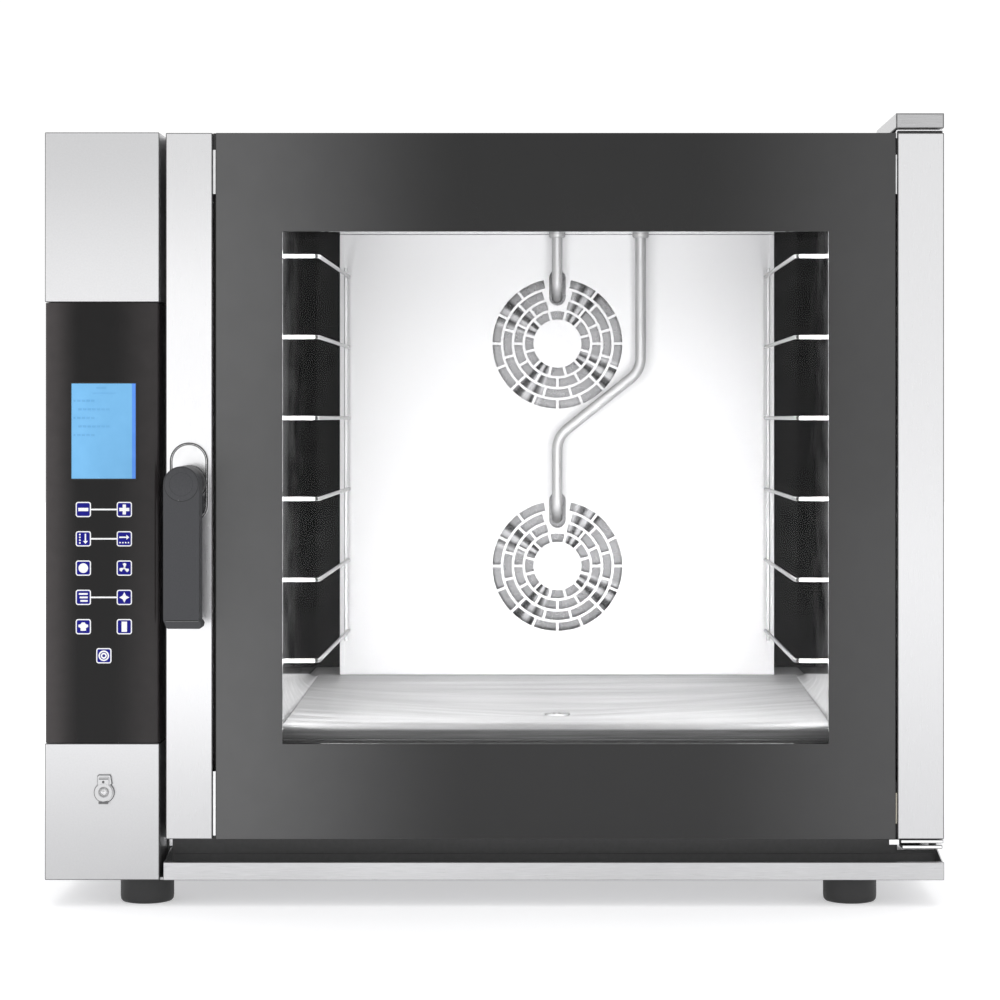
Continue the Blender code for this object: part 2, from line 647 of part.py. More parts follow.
def make_door_columns(top):
    """Two hollow steel columns; the right one turns on the hinge pins, the left one holds the handle."""
    wall = 0.0025
    for name, (x0, x1) in (("left", LEFT_COLUMN_X), ("right", RIGHT_COLUMN_X)):
        shell = box_mesh((x0, FACE_Y, DOOR_BOTTOM), (x1, DOOR_BACK_Y, top))
        column = make(f"door_{name}_column", shell, steel, origin=HINGE_AXIS)
        cut(column, box_mesh((x0 + wall, FACE_Y + wall, DOOR_BOTTOM + 0.004),
                             (x1 - wall, DOOR_BACK_Y - wall, top - 0.004)))
        if name == "right":
            bore = PIN_RADIUS + 0.0006
            cut(column, rod_mesh(HINGE_AXIS.xy, bore, "Z", DOOR_BOTTOM - 0.01, top + 0.01, 20))
        else:
            bore = SPINDLE_RADIUS + 0.0006
            place = (HANDLE_AXIS.x, HANDLE_AXIS.z)
            cut(column, rod_mesh(place, bore, "Y", FACE_Y - 0.01, DOOR_BACK_Y + 0.01, 16))


def make_door_rails(top):
    """Channel rails between the columns, open towards the window."""
    left, right = LEFT_COLUMN_X[1], RIGHT_COLUMN_X[0]
    front = FACE_Y + 0.0058
    for name, low, high in (("top", 0.770, top), ("bottom", DOOR_BOTTOM, 0.130)):
        rail = box_mesh((left + GAP, front, low), (right - GAP, DOOR_BACK_Y, high))
        rail = make(f"door_{name}_rail", rail, dark_steel, origin=HINGE_AXIS)
        mouth_low = low + SHEET if name == "bottom" else low - 0.01
        mouth_high = high + 0.01 if name == "bottom" else high - SHEET
        cut(rail, box_mesh((left - 0.01, front + SHEET, mouth_low),
                           (right + 0.01, DOOR_BACK_Y - SHEET, mouth_high)))


def make_gasket():
    """The seal that stands on the front frame round the cavity's mouth."""
    inner_half, outer_half = CAVITY_HALF + 0.006, CAVITY_HALF + 0.020
    inner = rectangle(CAVITY_X - inner_half, CAVITY_X + inner_half, CAVITY_LIP - 0.010, CAVITY_TOP + 0.006)
    outer = rectangle(CAVITY_X - outer_half, CAVITY_X + outer_half, CAVITY_LIP - 0.024, CAVITY_TOP + 0.020)
    make("door_gasket", prism(outer, [inner], "Y", GASKET_FRONT_Y, BODY_Y - 0.0025 - GAP), rubber)


def make_hinges():
    """The cap over the door's hinge column, the base under it, and their pins."""
    x0, x1 = 0.4175, WIDTH / 2
    cap_back = -0.215
    step = BODY_Y - 0.003
    profile = [(FACE_Y, 0.809), (step, 0.809), (step, SHELL_TOP + GAP), (cap_back, SHELL_TOP + GAP),
               (cap_back, HEIGHT), (FACE_Y, HEIGHT)]
    cap = make("hinge_cap", prism(profile, [], "X", x0, x1), steel)
    wall = 0.003
    cut(cap, box_mesh((x0 + wall, FACE_Y + wall, 0.80), (x1 - wall, cap_back - wall, HEIGHT - wall)))
    pin_x, pin_y = HINGE_AXIS.xy
    pin = rod_mesh((pin_x, pin_y), PIN_RADIUS, "Z", 0.788, HEIGHT - wall - GAP, 20)
    make("hinge_pin_top", pin, steel)
    plate = rectangle(0.421, x1 - 0.0015, FACE_Y + 0.002, BODY_Y - 0.003)
    base = make("hinge_base", prism(plate, [], "Z", 0.0598, 0.0638), steel)
    join(base, box_mesh((0.414, BODY_Y - 0.0065, 0.0495), (x1 - 0.0015, BODY_Y - 0.003, 0.0635)))
    make("hinge_pin_bottom", rod_mesh((pin_x, pin_y), PIN_RADIUS, "Z", 0.0638 + GAP, 0.090, 20), steel)


# ---- handle and latch -----------------------------------------------------------------------
def make_handle():
    x, z = HANDLE_AXIS.x, HANDLE_AXIS.z
    half = HANDLE_WIDTH / 2
    outline = [(x + half * math.cos(math.pi * i / 12), z + half * math.sin(math.pi * i / 12))
               for i in range(13)]
    outline += [(x - half, HANDLE_BOTTOM), (x + half, HANDLE_BOTTOM)]
    grip = prism(outline, [], "Y", FRONT_Y, LEVER_BACK_Y)
    lever = make("door_handle", grip, black_plastic, origin=HANDLE_AXIS)
    join(lever, rod_mesh((x, z), 0.0185, "Y", LEVER_BACK_Y - 0.002, -0.4035, 24))
    cut(lever, rod_mesh((x, z), SPINDLE_RADIUS + GAP, "Y", -0.425, -0.39, 16))
    plate = prism(stadium(x, z - 0.042, z + 0.042, 0.0198, 10), [circle(x, z, SPINDLE_RADIUS + 0.0010, 16)],
                  "Y", FACE_Y - 0.0030, FACE_Y - GAP)
    make("handle_escutcheon", plate, polished, origin=HINGE_AXIS)
    spindle = rod_mesh((x, z), SPINDLE_RADIUS, "Y", -0.4247, LATCH_Y[1] + 0.003, 16)
    make("handle_spindle", spindle, steel, origin=HANDLE_AXIS)


def make_latch():
    """The nose on the spindle's rear end turns behind the keeper on the body's front frame."""
    x, z = HANDLE_AXIS.x, HANDLE_AXIS.z
    collar = circle(x, z, 0.012, 24)
    bore = circle(x, z, SPINDLE_RADIUS + GAP, 16)
    hook = make("latch_hook", prism(collar, [bore], "Y", *LATCH_Y), steel, origin=HANDLE_AXIS)
    join(hook, prism(rectangle(x - 0.0205, x - 0.009, z - 0.006, z + 0.006), [], "Y", *LATCH_Y))
    plate = rectangle(COLUMN_RIGHT + 0.004, x - 0.0225, z - 0.030, z + 0.030)
    make("latch_keeper", prism(plate, [], "Y", BODY_Y + GAP, BODY_Y + 0.0103), steel)


# ---- tray and probe socket ------------------------------------------------------------------
def make_drip_tray():
    """The tray under the door; its end plates rise in a gentle S towards the body."""
    x0, x1 = TRAY_LEFT, WIDTH / 2
    back = BODY_Y - 0.0035
    wall = 0.0015
    low = SHELL_BOTTOM + 0.0028
    bar = make("drip_tray", box_mesh((x0, FACE_Y, SHELL_BOTTOM), (x1, FACE_Y + 0.003, TRAY_TOP)), steel)
    pan = box_mesh((x0, FACE_Y + 0.001, low), (x1, back, low + wall))
    rear = box_mesh((x0, back - wall, low), (x1, back, TRAY_TOP))
    steps = 6
    top = [(FACE_Y + 0.002 + (back - FACE_Y - 0.002) * i / steps,
            TRAY_TOP + TRAY_RISE * (0.5 - 0.5 * math.cos(math.pi * i / steps))) for i in range(steps + 1)]
    side = [(top[0][0], low)] + top + [(back, low)]
    left_end = prism(side[::-1], [], "X", x0, x0 + wall)
    right_end = prism(side[::-1], [], "X", x1 - wall, x1)
    join(bar, pan, rear, merged(left_end, right_end))


def make_probe_socket():
    x, z = PROBE_X, PROBE_Z
    front, back = FACE_Y - 0.0025, FACE_Y - GAP
    bore = circle(x, z, 0.0045, 16)
    socket = make("probe_socket", prism(circle(x, z, 0.0107, 24), [bore], "Y", front, back), steel)
    neck = prism(circle(x, z, 0.0088, 20), [bore], "Y", FACE_Y - 0.0010, FACE_Y + 0.018)
    ears = prism(rectangle(x - 0.0067, x + 0.0067, z + 0.0070, z + 0.0165), [], "Y", front, back)
    join(socket, neck, ears)
    origin = Vector((x, FACE_Y - 0.0045, z + 0.0140))
    thick = (FACE_Y - 0.0052, FACE_Y - 0.0030)
    lid = make("probe_flap", prism(circle(x, z, 0.0100, 24), [], "Y", *thick), steel, origin=origin)
    tab = rectangle(x - 0.0050, x + 0.0050, z + 0.0060, z + 0.0140)
    lip = rectangle(x - 0.0050, x + 0.0050, z - 0.0125, z - 0.0080)
    join(lid, merged(prism(tab, [], "Y", *thick), prism(lip, [], "Y", *thick)))


def main():
    for old in list(bpy.data.objects):
        bpy.data.objects.remove(old)
    make_base_and_feet()
    make_covers()
    make_front_frame()
    make_column()
    make_electronics()
    make_cooling_fan()
    make_cavity()
    make_insulation()
    make_baffle()
    make_fans()
    make_heaters()
    make_steam_tubes()
    make_services()
    make_racks()
    make_door()
    make_gasket()
    make_hinges()
    make_handle()
    make_latch()
    make_drip_tray()
    make_probe_socket()


main()
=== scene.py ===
"""Looks for a countertop combi steamer oven: steel covers, dark glass door, control column, cavity.

Metres, +Z up, front towards -Y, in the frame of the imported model.
"""

import math

import bmesh
import bpy
from mathutils import Matrix, Vector


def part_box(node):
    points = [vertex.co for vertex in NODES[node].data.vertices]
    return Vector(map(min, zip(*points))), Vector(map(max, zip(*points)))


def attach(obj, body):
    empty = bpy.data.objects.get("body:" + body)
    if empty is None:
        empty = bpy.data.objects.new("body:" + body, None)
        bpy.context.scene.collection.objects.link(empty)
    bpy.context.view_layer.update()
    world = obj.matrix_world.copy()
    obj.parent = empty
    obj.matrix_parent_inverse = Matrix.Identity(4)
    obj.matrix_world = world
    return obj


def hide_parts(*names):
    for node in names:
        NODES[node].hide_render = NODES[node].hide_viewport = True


# ---- places and sizes -----------------------------------------------------------------------
FACE_Y = -0.400                    # front of the door and the control column
BODY_Y = -0.334                    # front of the body's covers
REAR_Y = 0.450
SIDE_X = 0.4675
COLUMN_RIGHT = -0.3484
PANEL_Z = (0.170, 0.628)           # black control panel
PRINT = 0.0002                     # thickness of a printed layer
RAISED = 3                         # layers of a mark that lies on another print

CORNER_STEPS = 8                   # facets of the fascia's round corners
SCREEN_X = (-0.4396, -0.3729)
SCREEN_Z = (0.4449, 0.5439)
KEY_SIZE = 0.0158
KEY_X = (-0.4273, -0.3847)
KEY_TOP_Z = 0.4129
KEY_PITCH = 0.03045
START_KEY = (-0.4060, 0.2609)

WINDOW_X = (-0.2206, 0.3475)
WINDOW_Z = (0.1692, 0.7019)

CAVITY_X = 0.065
CAVITY_HALF = 0.307
CAVITY_TOP = 0.735
LIP_Z = 0.177
REAR_FLOOR_Z = 0.190
DRAIN_Y = -0.082
DRAIN_Z = 0.1665
BAFFLE_Y = 0.170
BAFFLE_HALF = 0.2685
FAN_X = 0.0655
FAN_Z = (0.600, 0.325)
SLOT_INNER = 0.0298
SLOT_PITCH = 0.0134
SLOT_WIDTH = 0.0103
SLOT_RIB = 0.0032
TUBE_RADIUS = 0.0064
TUBE_Y = 0.156
TUBE_TOPS = (0.0652, 0.168)
VALVE_Y = 0.412

RACK_HALF = 0.256
RACK_FRONT_Y = -0.300
RACK_REAR_Y = 0.138
RACK_LOWEST = 0.247
RACK_PITCH = 0.087
RACK_LEVELS = 6
WIRE = 0.0025

HANDLE_X = -0.3173
HANDLE_Z = 0.4405
HANDLE_HALF = 0.0183
HANDLE_LOW = 0.2935
LIP_TOP_Z = 0.3020                 # crease above the lever's flared lower lip
HANDLE_FRONT = -0.465
HANDLE_BACK = -0.438
PROBE_X = -0.4054
PROBE_Z = 0.1203
FOOT_RADIUS = 0.028
FOOT_HEIGHT = 0.0272


# ---- materials ------------------------------------------------------------------------------
def position_factor(nodes, links, axis, start, end):
    """A factor that runs smoothly from 0 to 1 as a point goes from start to end along an axis."""
    place = nodes.new("ShaderNodeTexCoord")
    split = nodes.new("ShaderNodeSeparateXYZ")
    ramp = nodes.new("ShaderNodeMapRange")
    ramp.interpolation_type = "SMOOTHSTEP"
    ramp.inputs["From Min"].default_value = start
    ramp.inputs["From Max"].default_value = end
    links.new(place.outputs["Object"], split.inputs[0])
    links.new(split.outputs[axis], ramp.inputs["Value"])
    return ramp.outputs["Result"]


def surface(name, dark, light, roughness, metallic=0.0, grain=(1.0, 1.0, 1.0), scale=30.0, bump=0.0,
            specular=0.5, tones=(), glow=0.0, mottle=None, rim=None):
    """A finish whose colour and gloss vary with a grain; each tone is (axis, start, end, colour factor), a
    colour change along an axis, mostly painted shade and painted reflection.

    Rim is the colour's factor where the surface turns away from the eye: painted shade that darkens the
    outline.
    """
    made = bpy.data.materials.new(name)
    made.use_nodes = True
    nodes, links = made.node_tree.nodes, made.node_tree.links
    shader = nodes["Principled BSDF"]
    place = nodes.new("ShaderNodeTexCoord")
    stretch = nodes.new("ShaderNodeMapping")
    stretch.inputs["Scale"].default_value = grain
    noise = nodes.new("ShaderNodeTexNoise")
    noise.inputs["Scale"].default_value = scale
    noise.inputs["Detail"].default_value = 5.0
    links.new(place.outputs["Object"], stretch.inputs["Vector"])
    links.new(stretch.outputs["Vector"], noise.inputs["Vector"])
    ramp = nodes.new("ShaderNodeValToRGB")
    ramp.color_ramp.elements[0].position = 0.32
    ramp.color_ramp.elements[0].color = (*dark, 1.0)
    ramp.color_ramp.elements[1].position = 0.68
    ramp.color_ramp.elements[1].color = (*light, 1.0)
    links.new(noise.outputs["Fac"], ramp.inputs["Fac"])
    color = ramp.outputs["Color"]
    if mottle:
        broad = nodes.new("ShaderNodeTexNoise")
        broad.inputs["Scale"].default_value = mottle[0]
        broad.inputs["Detail"].default_value = 2.0
        links.new(place.outputs["Object"], broad.inputs["Vector"])
        color = tinted(nodes, links, color, broad.outputs["Fac"], mottle[1])
    # rim: painted shade, the colour darker where the surface turns away from the eye
    if rim:
        facing = nodes.new("ShaderNodeLayerWeight")
        facing.inputs["Blend"].default_value = 0.4
        color = tinted(nodes, links, color, facing.outputs["Facing"], rim)
    # tones: painted shade and painted reflection, as colour factors along an axis
    for axis, start, end, factor in tones:
        color = tinted(nodes, links, color, position_factor(nodes, links, axis, start, end), factor)
    links.new(color, shader.inputs["Base Color"])
    gloss = nodes.new("ShaderNodeMapRange")
    gloss.inputs["From Min"].default_value = 0.3
    gloss.inputs["From Max"].default_value = 0.7
    gloss.inputs["To Min"].default_value = roughness[0]
    gloss.inputs["To Max"].default_value = roughness[1]
    links.new(noise.outputs["Fac"], gloss.inputs["Value"])
    links.new(gloss.outputs["Result"], shader.inputs["Roughness"])
    shader.inputs["Metallic"].default_value = metallic
    shader.inputs["Specular IOR Level"].default_value = specular
    if glow:
        links.new(color, shader.inputs["Emission Color"])
        shader.inputs["Emission Strength"].default_value = glow
    if bump:
        relief = nodes.new("ShaderNodeBump")
        relief.inputs["Strength"].default_value = 0.6
        relief.inputs["Distance"].default_value = bump
        links.new(noise.outputs["Fac"], relief.inputs["Height"])
        links.new(relief.outputs["Normal"], shader.inputs["Normal"])
    return made


def tinted(nodes, links, color, factor, tint):
    """The colour multiplied by a tint, as far as the factor says."""
    mix = nodes.new("ShaderNodeMix")
    mix.data_type = "RGBA"
    mix.blend_type = "MIX"
    scaled = nodes.new("ShaderNodeVectorMath")
    scaled.operation = "SCALE"
    scaled.inputs["Scale"].default_value = tint
    links.new(color, scaled.inputs[0])
    links.new(factor, mix.inputs["Factor"])
    links.new(color, mix.inputs["A"])
    links.new(scaled.outputs[0], mix.inputs["B"])
    return mix.outputs["Result"]


def clear_glass(name, gloss):
    """Clear glass: light passes straight on, with a weak mirror layer and a faint smear grain."""
    made = bpy.data.materials.new(name)
    made.use_nodes = True
    nodes, links = made.node_tree.nodes, made.node_tree.links
    nodes.remove(nodes["Principled BSDF"])
    through = nodes.new("ShaderNodeBsdfTransparent")
    mirror = nodes.new("ShaderNodeBsdfGlossy")
    mirror.inputs["Roughness"].default_value = 0.04
    rim = nodes.new("ShaderNodeFresnel")
    rim.inputs["IOR"].default_value = 1.14
    noise = nodes.new("ShaderNodeTexNoise")
    noise.inputs["Scale"].default_value = 6.0
    shade = nodes.new("ShaderNodeValToRGB")
    shade.color_ramp.elements[0].color = (*gloss, 1.0)
    shade.color_ramp.elements[1].color = (0.996, 0.996, 0.996, 1.0)
    blend = nodes.new("ShaderNodeMixShader")
    links.new(noise.outputs["Fac"], shade.inputs["Fac"])
    links.new(shade.outputs["Color"], through.inputs["Color"])
    links.new(rim.outputs["Fac"], blend.inputs["Fac"])
    links.new(through.outputs[0], blend.inputs[1])
    links.new(mirror.outputs[0], blend.inputs[2])
    links.new(blend.outputs[0], nodes["Material Output"].inputs["Surface"])
    return made


def grey(value):
    return (value, value, value * 1.01)


def make_finishes():
    """Every finish by name."""
    made = {}

    def add(name, *args, **kwargs):
        made[name] = surface(name, *args, **kwargs)

    upright = (60.0, 60.0, 1.5)
    level = (1.5, 60.0, 60.0)
    # darker towards the top and towards the bottom: painted shade
    add("steel_column", grey(0.78), grey(0.82), (0.30, 0.40), 1.0, (9, 9, 9), 60.0, mottle=(3.0, 0.97),
        tones=((2, 0.62, 0.80, 0.80), (2, 0.26, 0.03, 0.71)))
    # the left post lighter than the right one: lit and shaded copies of one steel; both darker towards the
    # bottom, the left one also towards the top: painted shade
    add("steel_post_left", grey(0.94), grey(0.96), (0.27, 0.30), 1.0, upright, 30.0, mottle=(4.0, 0.98),
        tones=((2, 0.60, 0.80, 0.78), (2, 0.32, 0.07, 0.66)))
    add("steel_post_right", grey(0.79), grey(0.81), (0.27, 0.30), 1.0, upright, 30.0, mottle=(4.0, 0.95),
        tones=((2, 0.40, 0.07, 0.79),))
    add("steel_tray", grey(0.68), grey(0.80), (0.27, 0.31), 1.0, level, 30.0, mottle=(3.0, 0.62))
    # dark steel: painted shade on bevelled edges and at the rack bends, painted highlight lines on the
    # lever; also the probe lid's fold, lip and rivet
    add("steel_edge", grey(0.13), grey(0.20), (0.3, 0.4), 1.0, (6, 6, 6), 40.0)
    # near-black chrome: painted dark reflection in the escutcheon's rims
    add("chrome_painted_reflection", grey(0.035), grey(0.055), (0.06, 0.10), 1.0, (6, 6, 6), 40.0)
    add("steel_cap", grey(0.50), grey(0.58), (0.26, 0.34), 1.0, level, 24.0, mottle=(5.0, 0.92))
    add("steel_cover", grey(0.47), grey(0.53), (0.32, 0.42), 1.0, upright, 18.0, mottle=(2.0, 0.94))
    add("steel_bright", grey(0.82), grey(0.90), (0.12, 0.20), 1.0, (4, 4, 4), 40.0)
    add("steel_plate", grey(0.93), grey(0.97), (0.14, 0.20), 1.0, (4, 4, 4), 40.0)
    # rim: painted shade, darker where the wires and tubes turn away from the eye
    add("steel_wire", grey(0.64), grey(0.70), (0.30, 0.34), 0.4, (1, 1, 1), 12.0, rim=0.35)
    add("steel_tube", grey(0.66), grey(0.70), (0.28, 0.30), 0.60, (1, 1, 1), 12.0, rim=0.10)
    add("steel_wheel", grey(0.42), grey(0.66), (0.22, 0.34), 1.0, (6, 6, 6), 20.0)
    # darker towards the top: painted shade
    add("steel_baffle", grey(0.95), grey(0.97), (0.42, 0.52), 0.70, (4, 4, 4), 30.0,
        tones=((2, 0.50, 0.73, 0.93),))
    # darker towards the front: painted shade
    add("steel_floor", grey(0.32), grey(0.50), (0.38, 0.50), 0.10, (1.0, 16.0, 16.0), 4.0,
        tones=((1, -0.02, -0.32, 0.76),))
    add("steel_lip", grey(0.19), grey(0.33), (0.35, 0.45), 0.0, (1.0, 40.0, 60.0), 8.0)
    add("gasket_grey", grey(0.14), grey(0.18), (0.5, 0.6), 0.0, (1, 1, 1), 200.0)
    add("steel_machined", grey(0.52), grey(0.62), (0.25, 0.35), 1.0, (6, 6, 6), 60.0)
    add("steel_shadow", grey(0.003), grey(0.007), (0.10, 0.20), 0.0, (1.0, 1.0, 1.6), 14.0,
        mottle=(16.0, 0.5), specular=0.03)
    # near-black with little gloss: painted shade behind the baffle
    add("steel_rear_wall", grey(0.010), grey(0.016), (0.2, 0.3), 0.0, (4, 4, 4), 10.0, specular=0.03)
    # dark grey: the fan motors, and painted shade in the gap under the hinge cap
    add("dark_frame", grey(0.042), grey(0.050), (0.40, 0.50), 0.0, (5, 5, 5), 40.0)
    add("grey_frame", grey(0.150), grey(0.170), (0.40, 0.50), 0.0, (5, 5, 5), 40.0)
    add("rail_dark", grey(0.028), grey(0.036), (0.35, 0.5), 0.0, (5, 5, 5), 40.0)
    # painted reflection: much lighter towards the left and right edges, a little darker towards the top
    add("glass_border", grey(0.0112), grey(0.0118), (0.11, 0.12), 0.0, (3, 3, 3), 12.0, specular=0.4,
        tones=((0, -0.02, -0.29, 8.6), (0, 0.20, 0.417, 4.6), (2, 0.62, 0.80, 0.90)))
    # painted highlights: lighter towards the left edge and towards the right edge
    add("panel_black", (0.0048, 0.0043, 0.0043), (0.0056, 0.0050, 0.0050), (0.16, 0.20), 0.0,
        (3, 3, 3), 20.0, specular=0.25, tones=((0, -0.430, -0.4675, 11.0), (0, -0.400, -0.352, 5.5)))
    # the white and blue prints glow: painted light on print that is no lamp
    add("print_white", grey(0.80), grey(0.90), (0.4, 0.5), 0.0, (5, 5, 5), 80.0, glow=0.15)
    add("print_blue", (0.0, 0.0, 0.15), (0.002, 0.002, 0.20), (0.3, 0.4), 0.0, (5, 5, 5), 80.0,
        specular=0.2, glow=0.3)
    add("screen_blue", (0.175, 0.445, 0.74), (0.19, 0.47, 0.77), (0.12, 0.2), 0.0, (3, 3, 3), 20.0,
        specular=0.1, glow=0.05, tones=((0, -0.40, -0.44, 1.08),))
    add("screen_edge", (0.10, 0.28, 0.80), (0.12, 0.31, 0.86), (0.12, 0.2), 0.0, (3, 3, 3), 20.0,
        specular=0.1, glow=0.05)
    add("screen_line", (0.15, 0.40, 0.68), (0.17, 0.43, 0.72), (0.12, 0.2), 0.0, (3, 3, 3), 20.0,
        specular=0.1, glow=0.05)
    add("handle_plastic", (0.033, 0.034, 0.038), (0.047, 0.048, 0.053), (0.42, 0.55), 0.0,
        (1, 1, 1), 900.0, bump=0.0004)
    add("neck_plastic", grey(0.007), grey(0.011), (0.36, 0.44), 0.0, (1, 1, 1), 300.0, specular=0.25)
    # dark grey: painted shade on the lever's edges, groove and crease and in the drain; also the screen's
    # rim
    add("handle_line", grey(0.012), grey(0.02), (0.4, 0.5), 0.0, (1, 1, 1), 400.0, specular=0.3)
    add("rubber_black", grey(0.020), grey(0.026), (0.5, 0.65), 0.0, (1, 1, 1), 300.0, bump=0.0002)
    add("plastic_black", grey(0.030), grey(0.040), (0.4, 0.5), 0.0, (1, 1, 1), 300.0)
    add("plastic_beige", (0.50, 0.46, 0.38), (0.58, 0.54, 0.45), (0.4, 0.5), 0.0, (1, 1, 1), 100.0)
    # bright bead on the probe lid: painted highlight of the lens ring
    add("lens_painted_highlight", grey(0.55), grey(0.95), (0.08, 0.14), 1.0, (1, 1, 1), 260.0)
    add("steel_lens", grey(0.16), grey(0.42), (0.14, 0.22), 1.0, (1, 1, 1), 240.0)
    add("wool", (0.60, 0.55, 0.40), (0.80, 0.76, 0.62), (0.9, 1.0), 0.0, (1, 1, 1), 120.0, bump=0.002)
    add("board_green", (0.02, 0.14, 0.05), (0.04, 0.22, 0.09), (0.4, 0.55), 0.0, (1, 1, 1), 200.0)
    made["glass_clear"] = clear_glass("glass_clear", (0.985, 0.985, 0.985))
    return made


# ---- shapes ---------------------------------------------------------------------------------
def lift(u, v, w, axis):
    """A point from its in-plane places u and v and its place w along axis X, Y or Z."""
    if axis == "X":
        return Vector((w, u, v))
    if axis == "Y":
        return Vector((u, w, v))
    return Vector((u, v, w))


def prism(outline, holes, axis, low, high):
    """A closed plate: an outline with holes, spread from low to high along an axis."""
    bm = bmesh.new()
    for loop in [outline, *holes]:
        verts = [bm.verts.new(lift(u, v, low, axis)) for u, v in loop]
        for a, b in zip(verts, verts[1:] + verts[:1]):
            bm.edges.new((a, b))
    bmesh.ops.triangle_fill(bm, use_beauty=True, use_dissolve=False, edges=bm.edges[:])
    grown = bmesh.ops.extrude_face_region(bm, geom=bm.faces[:])
    moved = [part for part in grown["geom"] if isinstance(part, bmesh.types.BMVert)]
    bmesh.ops.translate(bm, verts=moved, vec=lift(0, 0, high - low, axis))
    bmesh.ops.recalc_face_normals(bm, faces=bm.faces[:])
    return bm


def rectangle(u0, u1, v0, v1):
    return [(u0, v0), (u1, v0), (u1, v1), (u0, v1)]


def circle(u, v, radius, sides=48):
    turn = 2 * math.pi / sides
    return [(u + radius * math.cos(i * turn), v + radius * math.sin(i * turn)) for i in range(sides)]


def rounded(u0, u1, v0, v1, radius, steps=6):
    """A rectangle with round corners."""
    points = []
    corners = ((u1 - radius, v1 - radius), (u0 + radius, v1 - radius),
               (u0 + radius, v0 + radius), (u1 - radius, v0 + radius))
    for quarter, (u, v) in enumerate(corners):
        for i in range(steps + 1):
            angle = math.pi / 2 * (quarter + i / steps)
            points.append((u + radius * math.cos(angle), v + radius * math.sin(angle)))
    return points


def box_mesh(low, high):
    return prism(rectangle(low[0], high[0], low[1], high[1]), [], "Z", low[2], high[2])


def turned(profile, center, axis, sides=48):
    """A body turned about an axis along X, Y or Z from (radius, place) points."""
    bm = bmesh.new()
    rings = []
    for radius, w in profile:
        if radius == 0:
            rings.append([bm.verts.new(lift(center[0], center[1], w, axis))])
        else:
            rings.append([bm.verts.new(lift(u, v, w, axis)) for u, v in circle(*center, radius, sides)])
    for a, b in zip(rings, rings[1:]):
        for i in range(sides):
            j = (i + 1) % sides
            corners = [a[i % len(a)], a[j % len(a)], b[j % len(b)], b[i % len(b)]]
            bm.faces.new(list(dict.fromkeys(corners)))
    bmesh.ops.recalc_face_normals(bm, faces=bm.faces[:])
    return bm


def rounded_path(points, radius, steps=8):
    """The points with each inner corner turned into an arc."""
    path = [Vector(points[0])]
    for before, corner, after in zip(points, points[1:], points[2:]):
        corner = Vector(corner)
        back = (Vector(before) - corner).normalized()
        on = (Vector(after) - corner).normalized()
        half = back.angle(on) / 2
        center = corner + (back + on).normalized() * radius / math.sin(half)
        first = corner + back * radius / math.tan(half) - center
        last = corner + on * radius / math.tan(half) - center
        path += [center + first.slerp(last, i / steps) * radius for i in range(steps + 1)]
    return path + [Vector(points[-1])]


def tube_mesh(path, radius, sides=16):
    """A round rod along a path, with rounded ends."""
    bm = bmesh.new()
    rings = []
    normal = None
    for i, place in enumerate(path):
        ahead = (path[min(i + 1, len(path) - 1)] - path[max(i - 1, 0)]).normalized()
        if normal is None:
            normal = ahead.orthogonal().normalized()
        normal = (normal - ahead * normal.dot(ahead)).normalized()
        other = ahead.cross(normal)
        rings.append([bm.verts.new(place + radius * (normal * math.cos(t) + other * math.sin(t)))
                      for t in (2 * math.pi * k / sides for k in range(sides))])
    for a, b in zip(rings, rings[1:]):
        for k in range(sides):
            j = (k + 1) % sides
            bm.faces.new((a[k], a[j], b[j], b[k]))
    bm.faces.new(rings[0])
    bm.faces.new(rings[-1])
    bmesh.ops.recalc_face_normals(bm, faces=bm.faces[:])
    return bm


def merged(*shapes):
    """Several shapes as one mesh."""
    bm = bmesh.new()
    for part in shapes:
        mesh = bpy.data.meshes.new("part")
        part.to_mesh(mesh)
        part.free()
        bm.from_mesh(mesh)
        bpy.data.meshes.remove(mesh)
    return bm


SHARP = math.radians(38)            # an edge sharper than this is kept, or bevelled


def piece(name, bm, finish, body, bevel=0.0, replaces=(), edge=None, place=(0.0, 0.0, 0.0)):
    """A visual piece that rides on a body; its rounded edges may have a finish of their own, mostly a
    darker one that paints shade along them.
    """
    mesh = bpy.data.meshes.new(name)
    bm.to_mesh(mesh)
    bm.free()
    mesh.shade_smooth()
    mesh.set_sharp_from_angle(angle=SHARP)
    mesh.materials.append(FINISH[finish])
    made = bpy.data.objects.new(name, mesh)
    made.location = place
    bpy.context.scene.collection.objects.link(made)
    if bevel:
        rounding = made.modifiers.new("rounding", "BEVEL")
        rounding.width = bevel
        rounding.segments = 3
        rounding.limit_method = "ANGLE"
        rounding.angle_limit = SHARP
        rounding.harden_normals = True
        if edge:
            mesh.materials.append(FINISH[edge])
            rounding.material = 1
    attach(made, body)
    if replaces:
        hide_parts(*replaces)
    return made


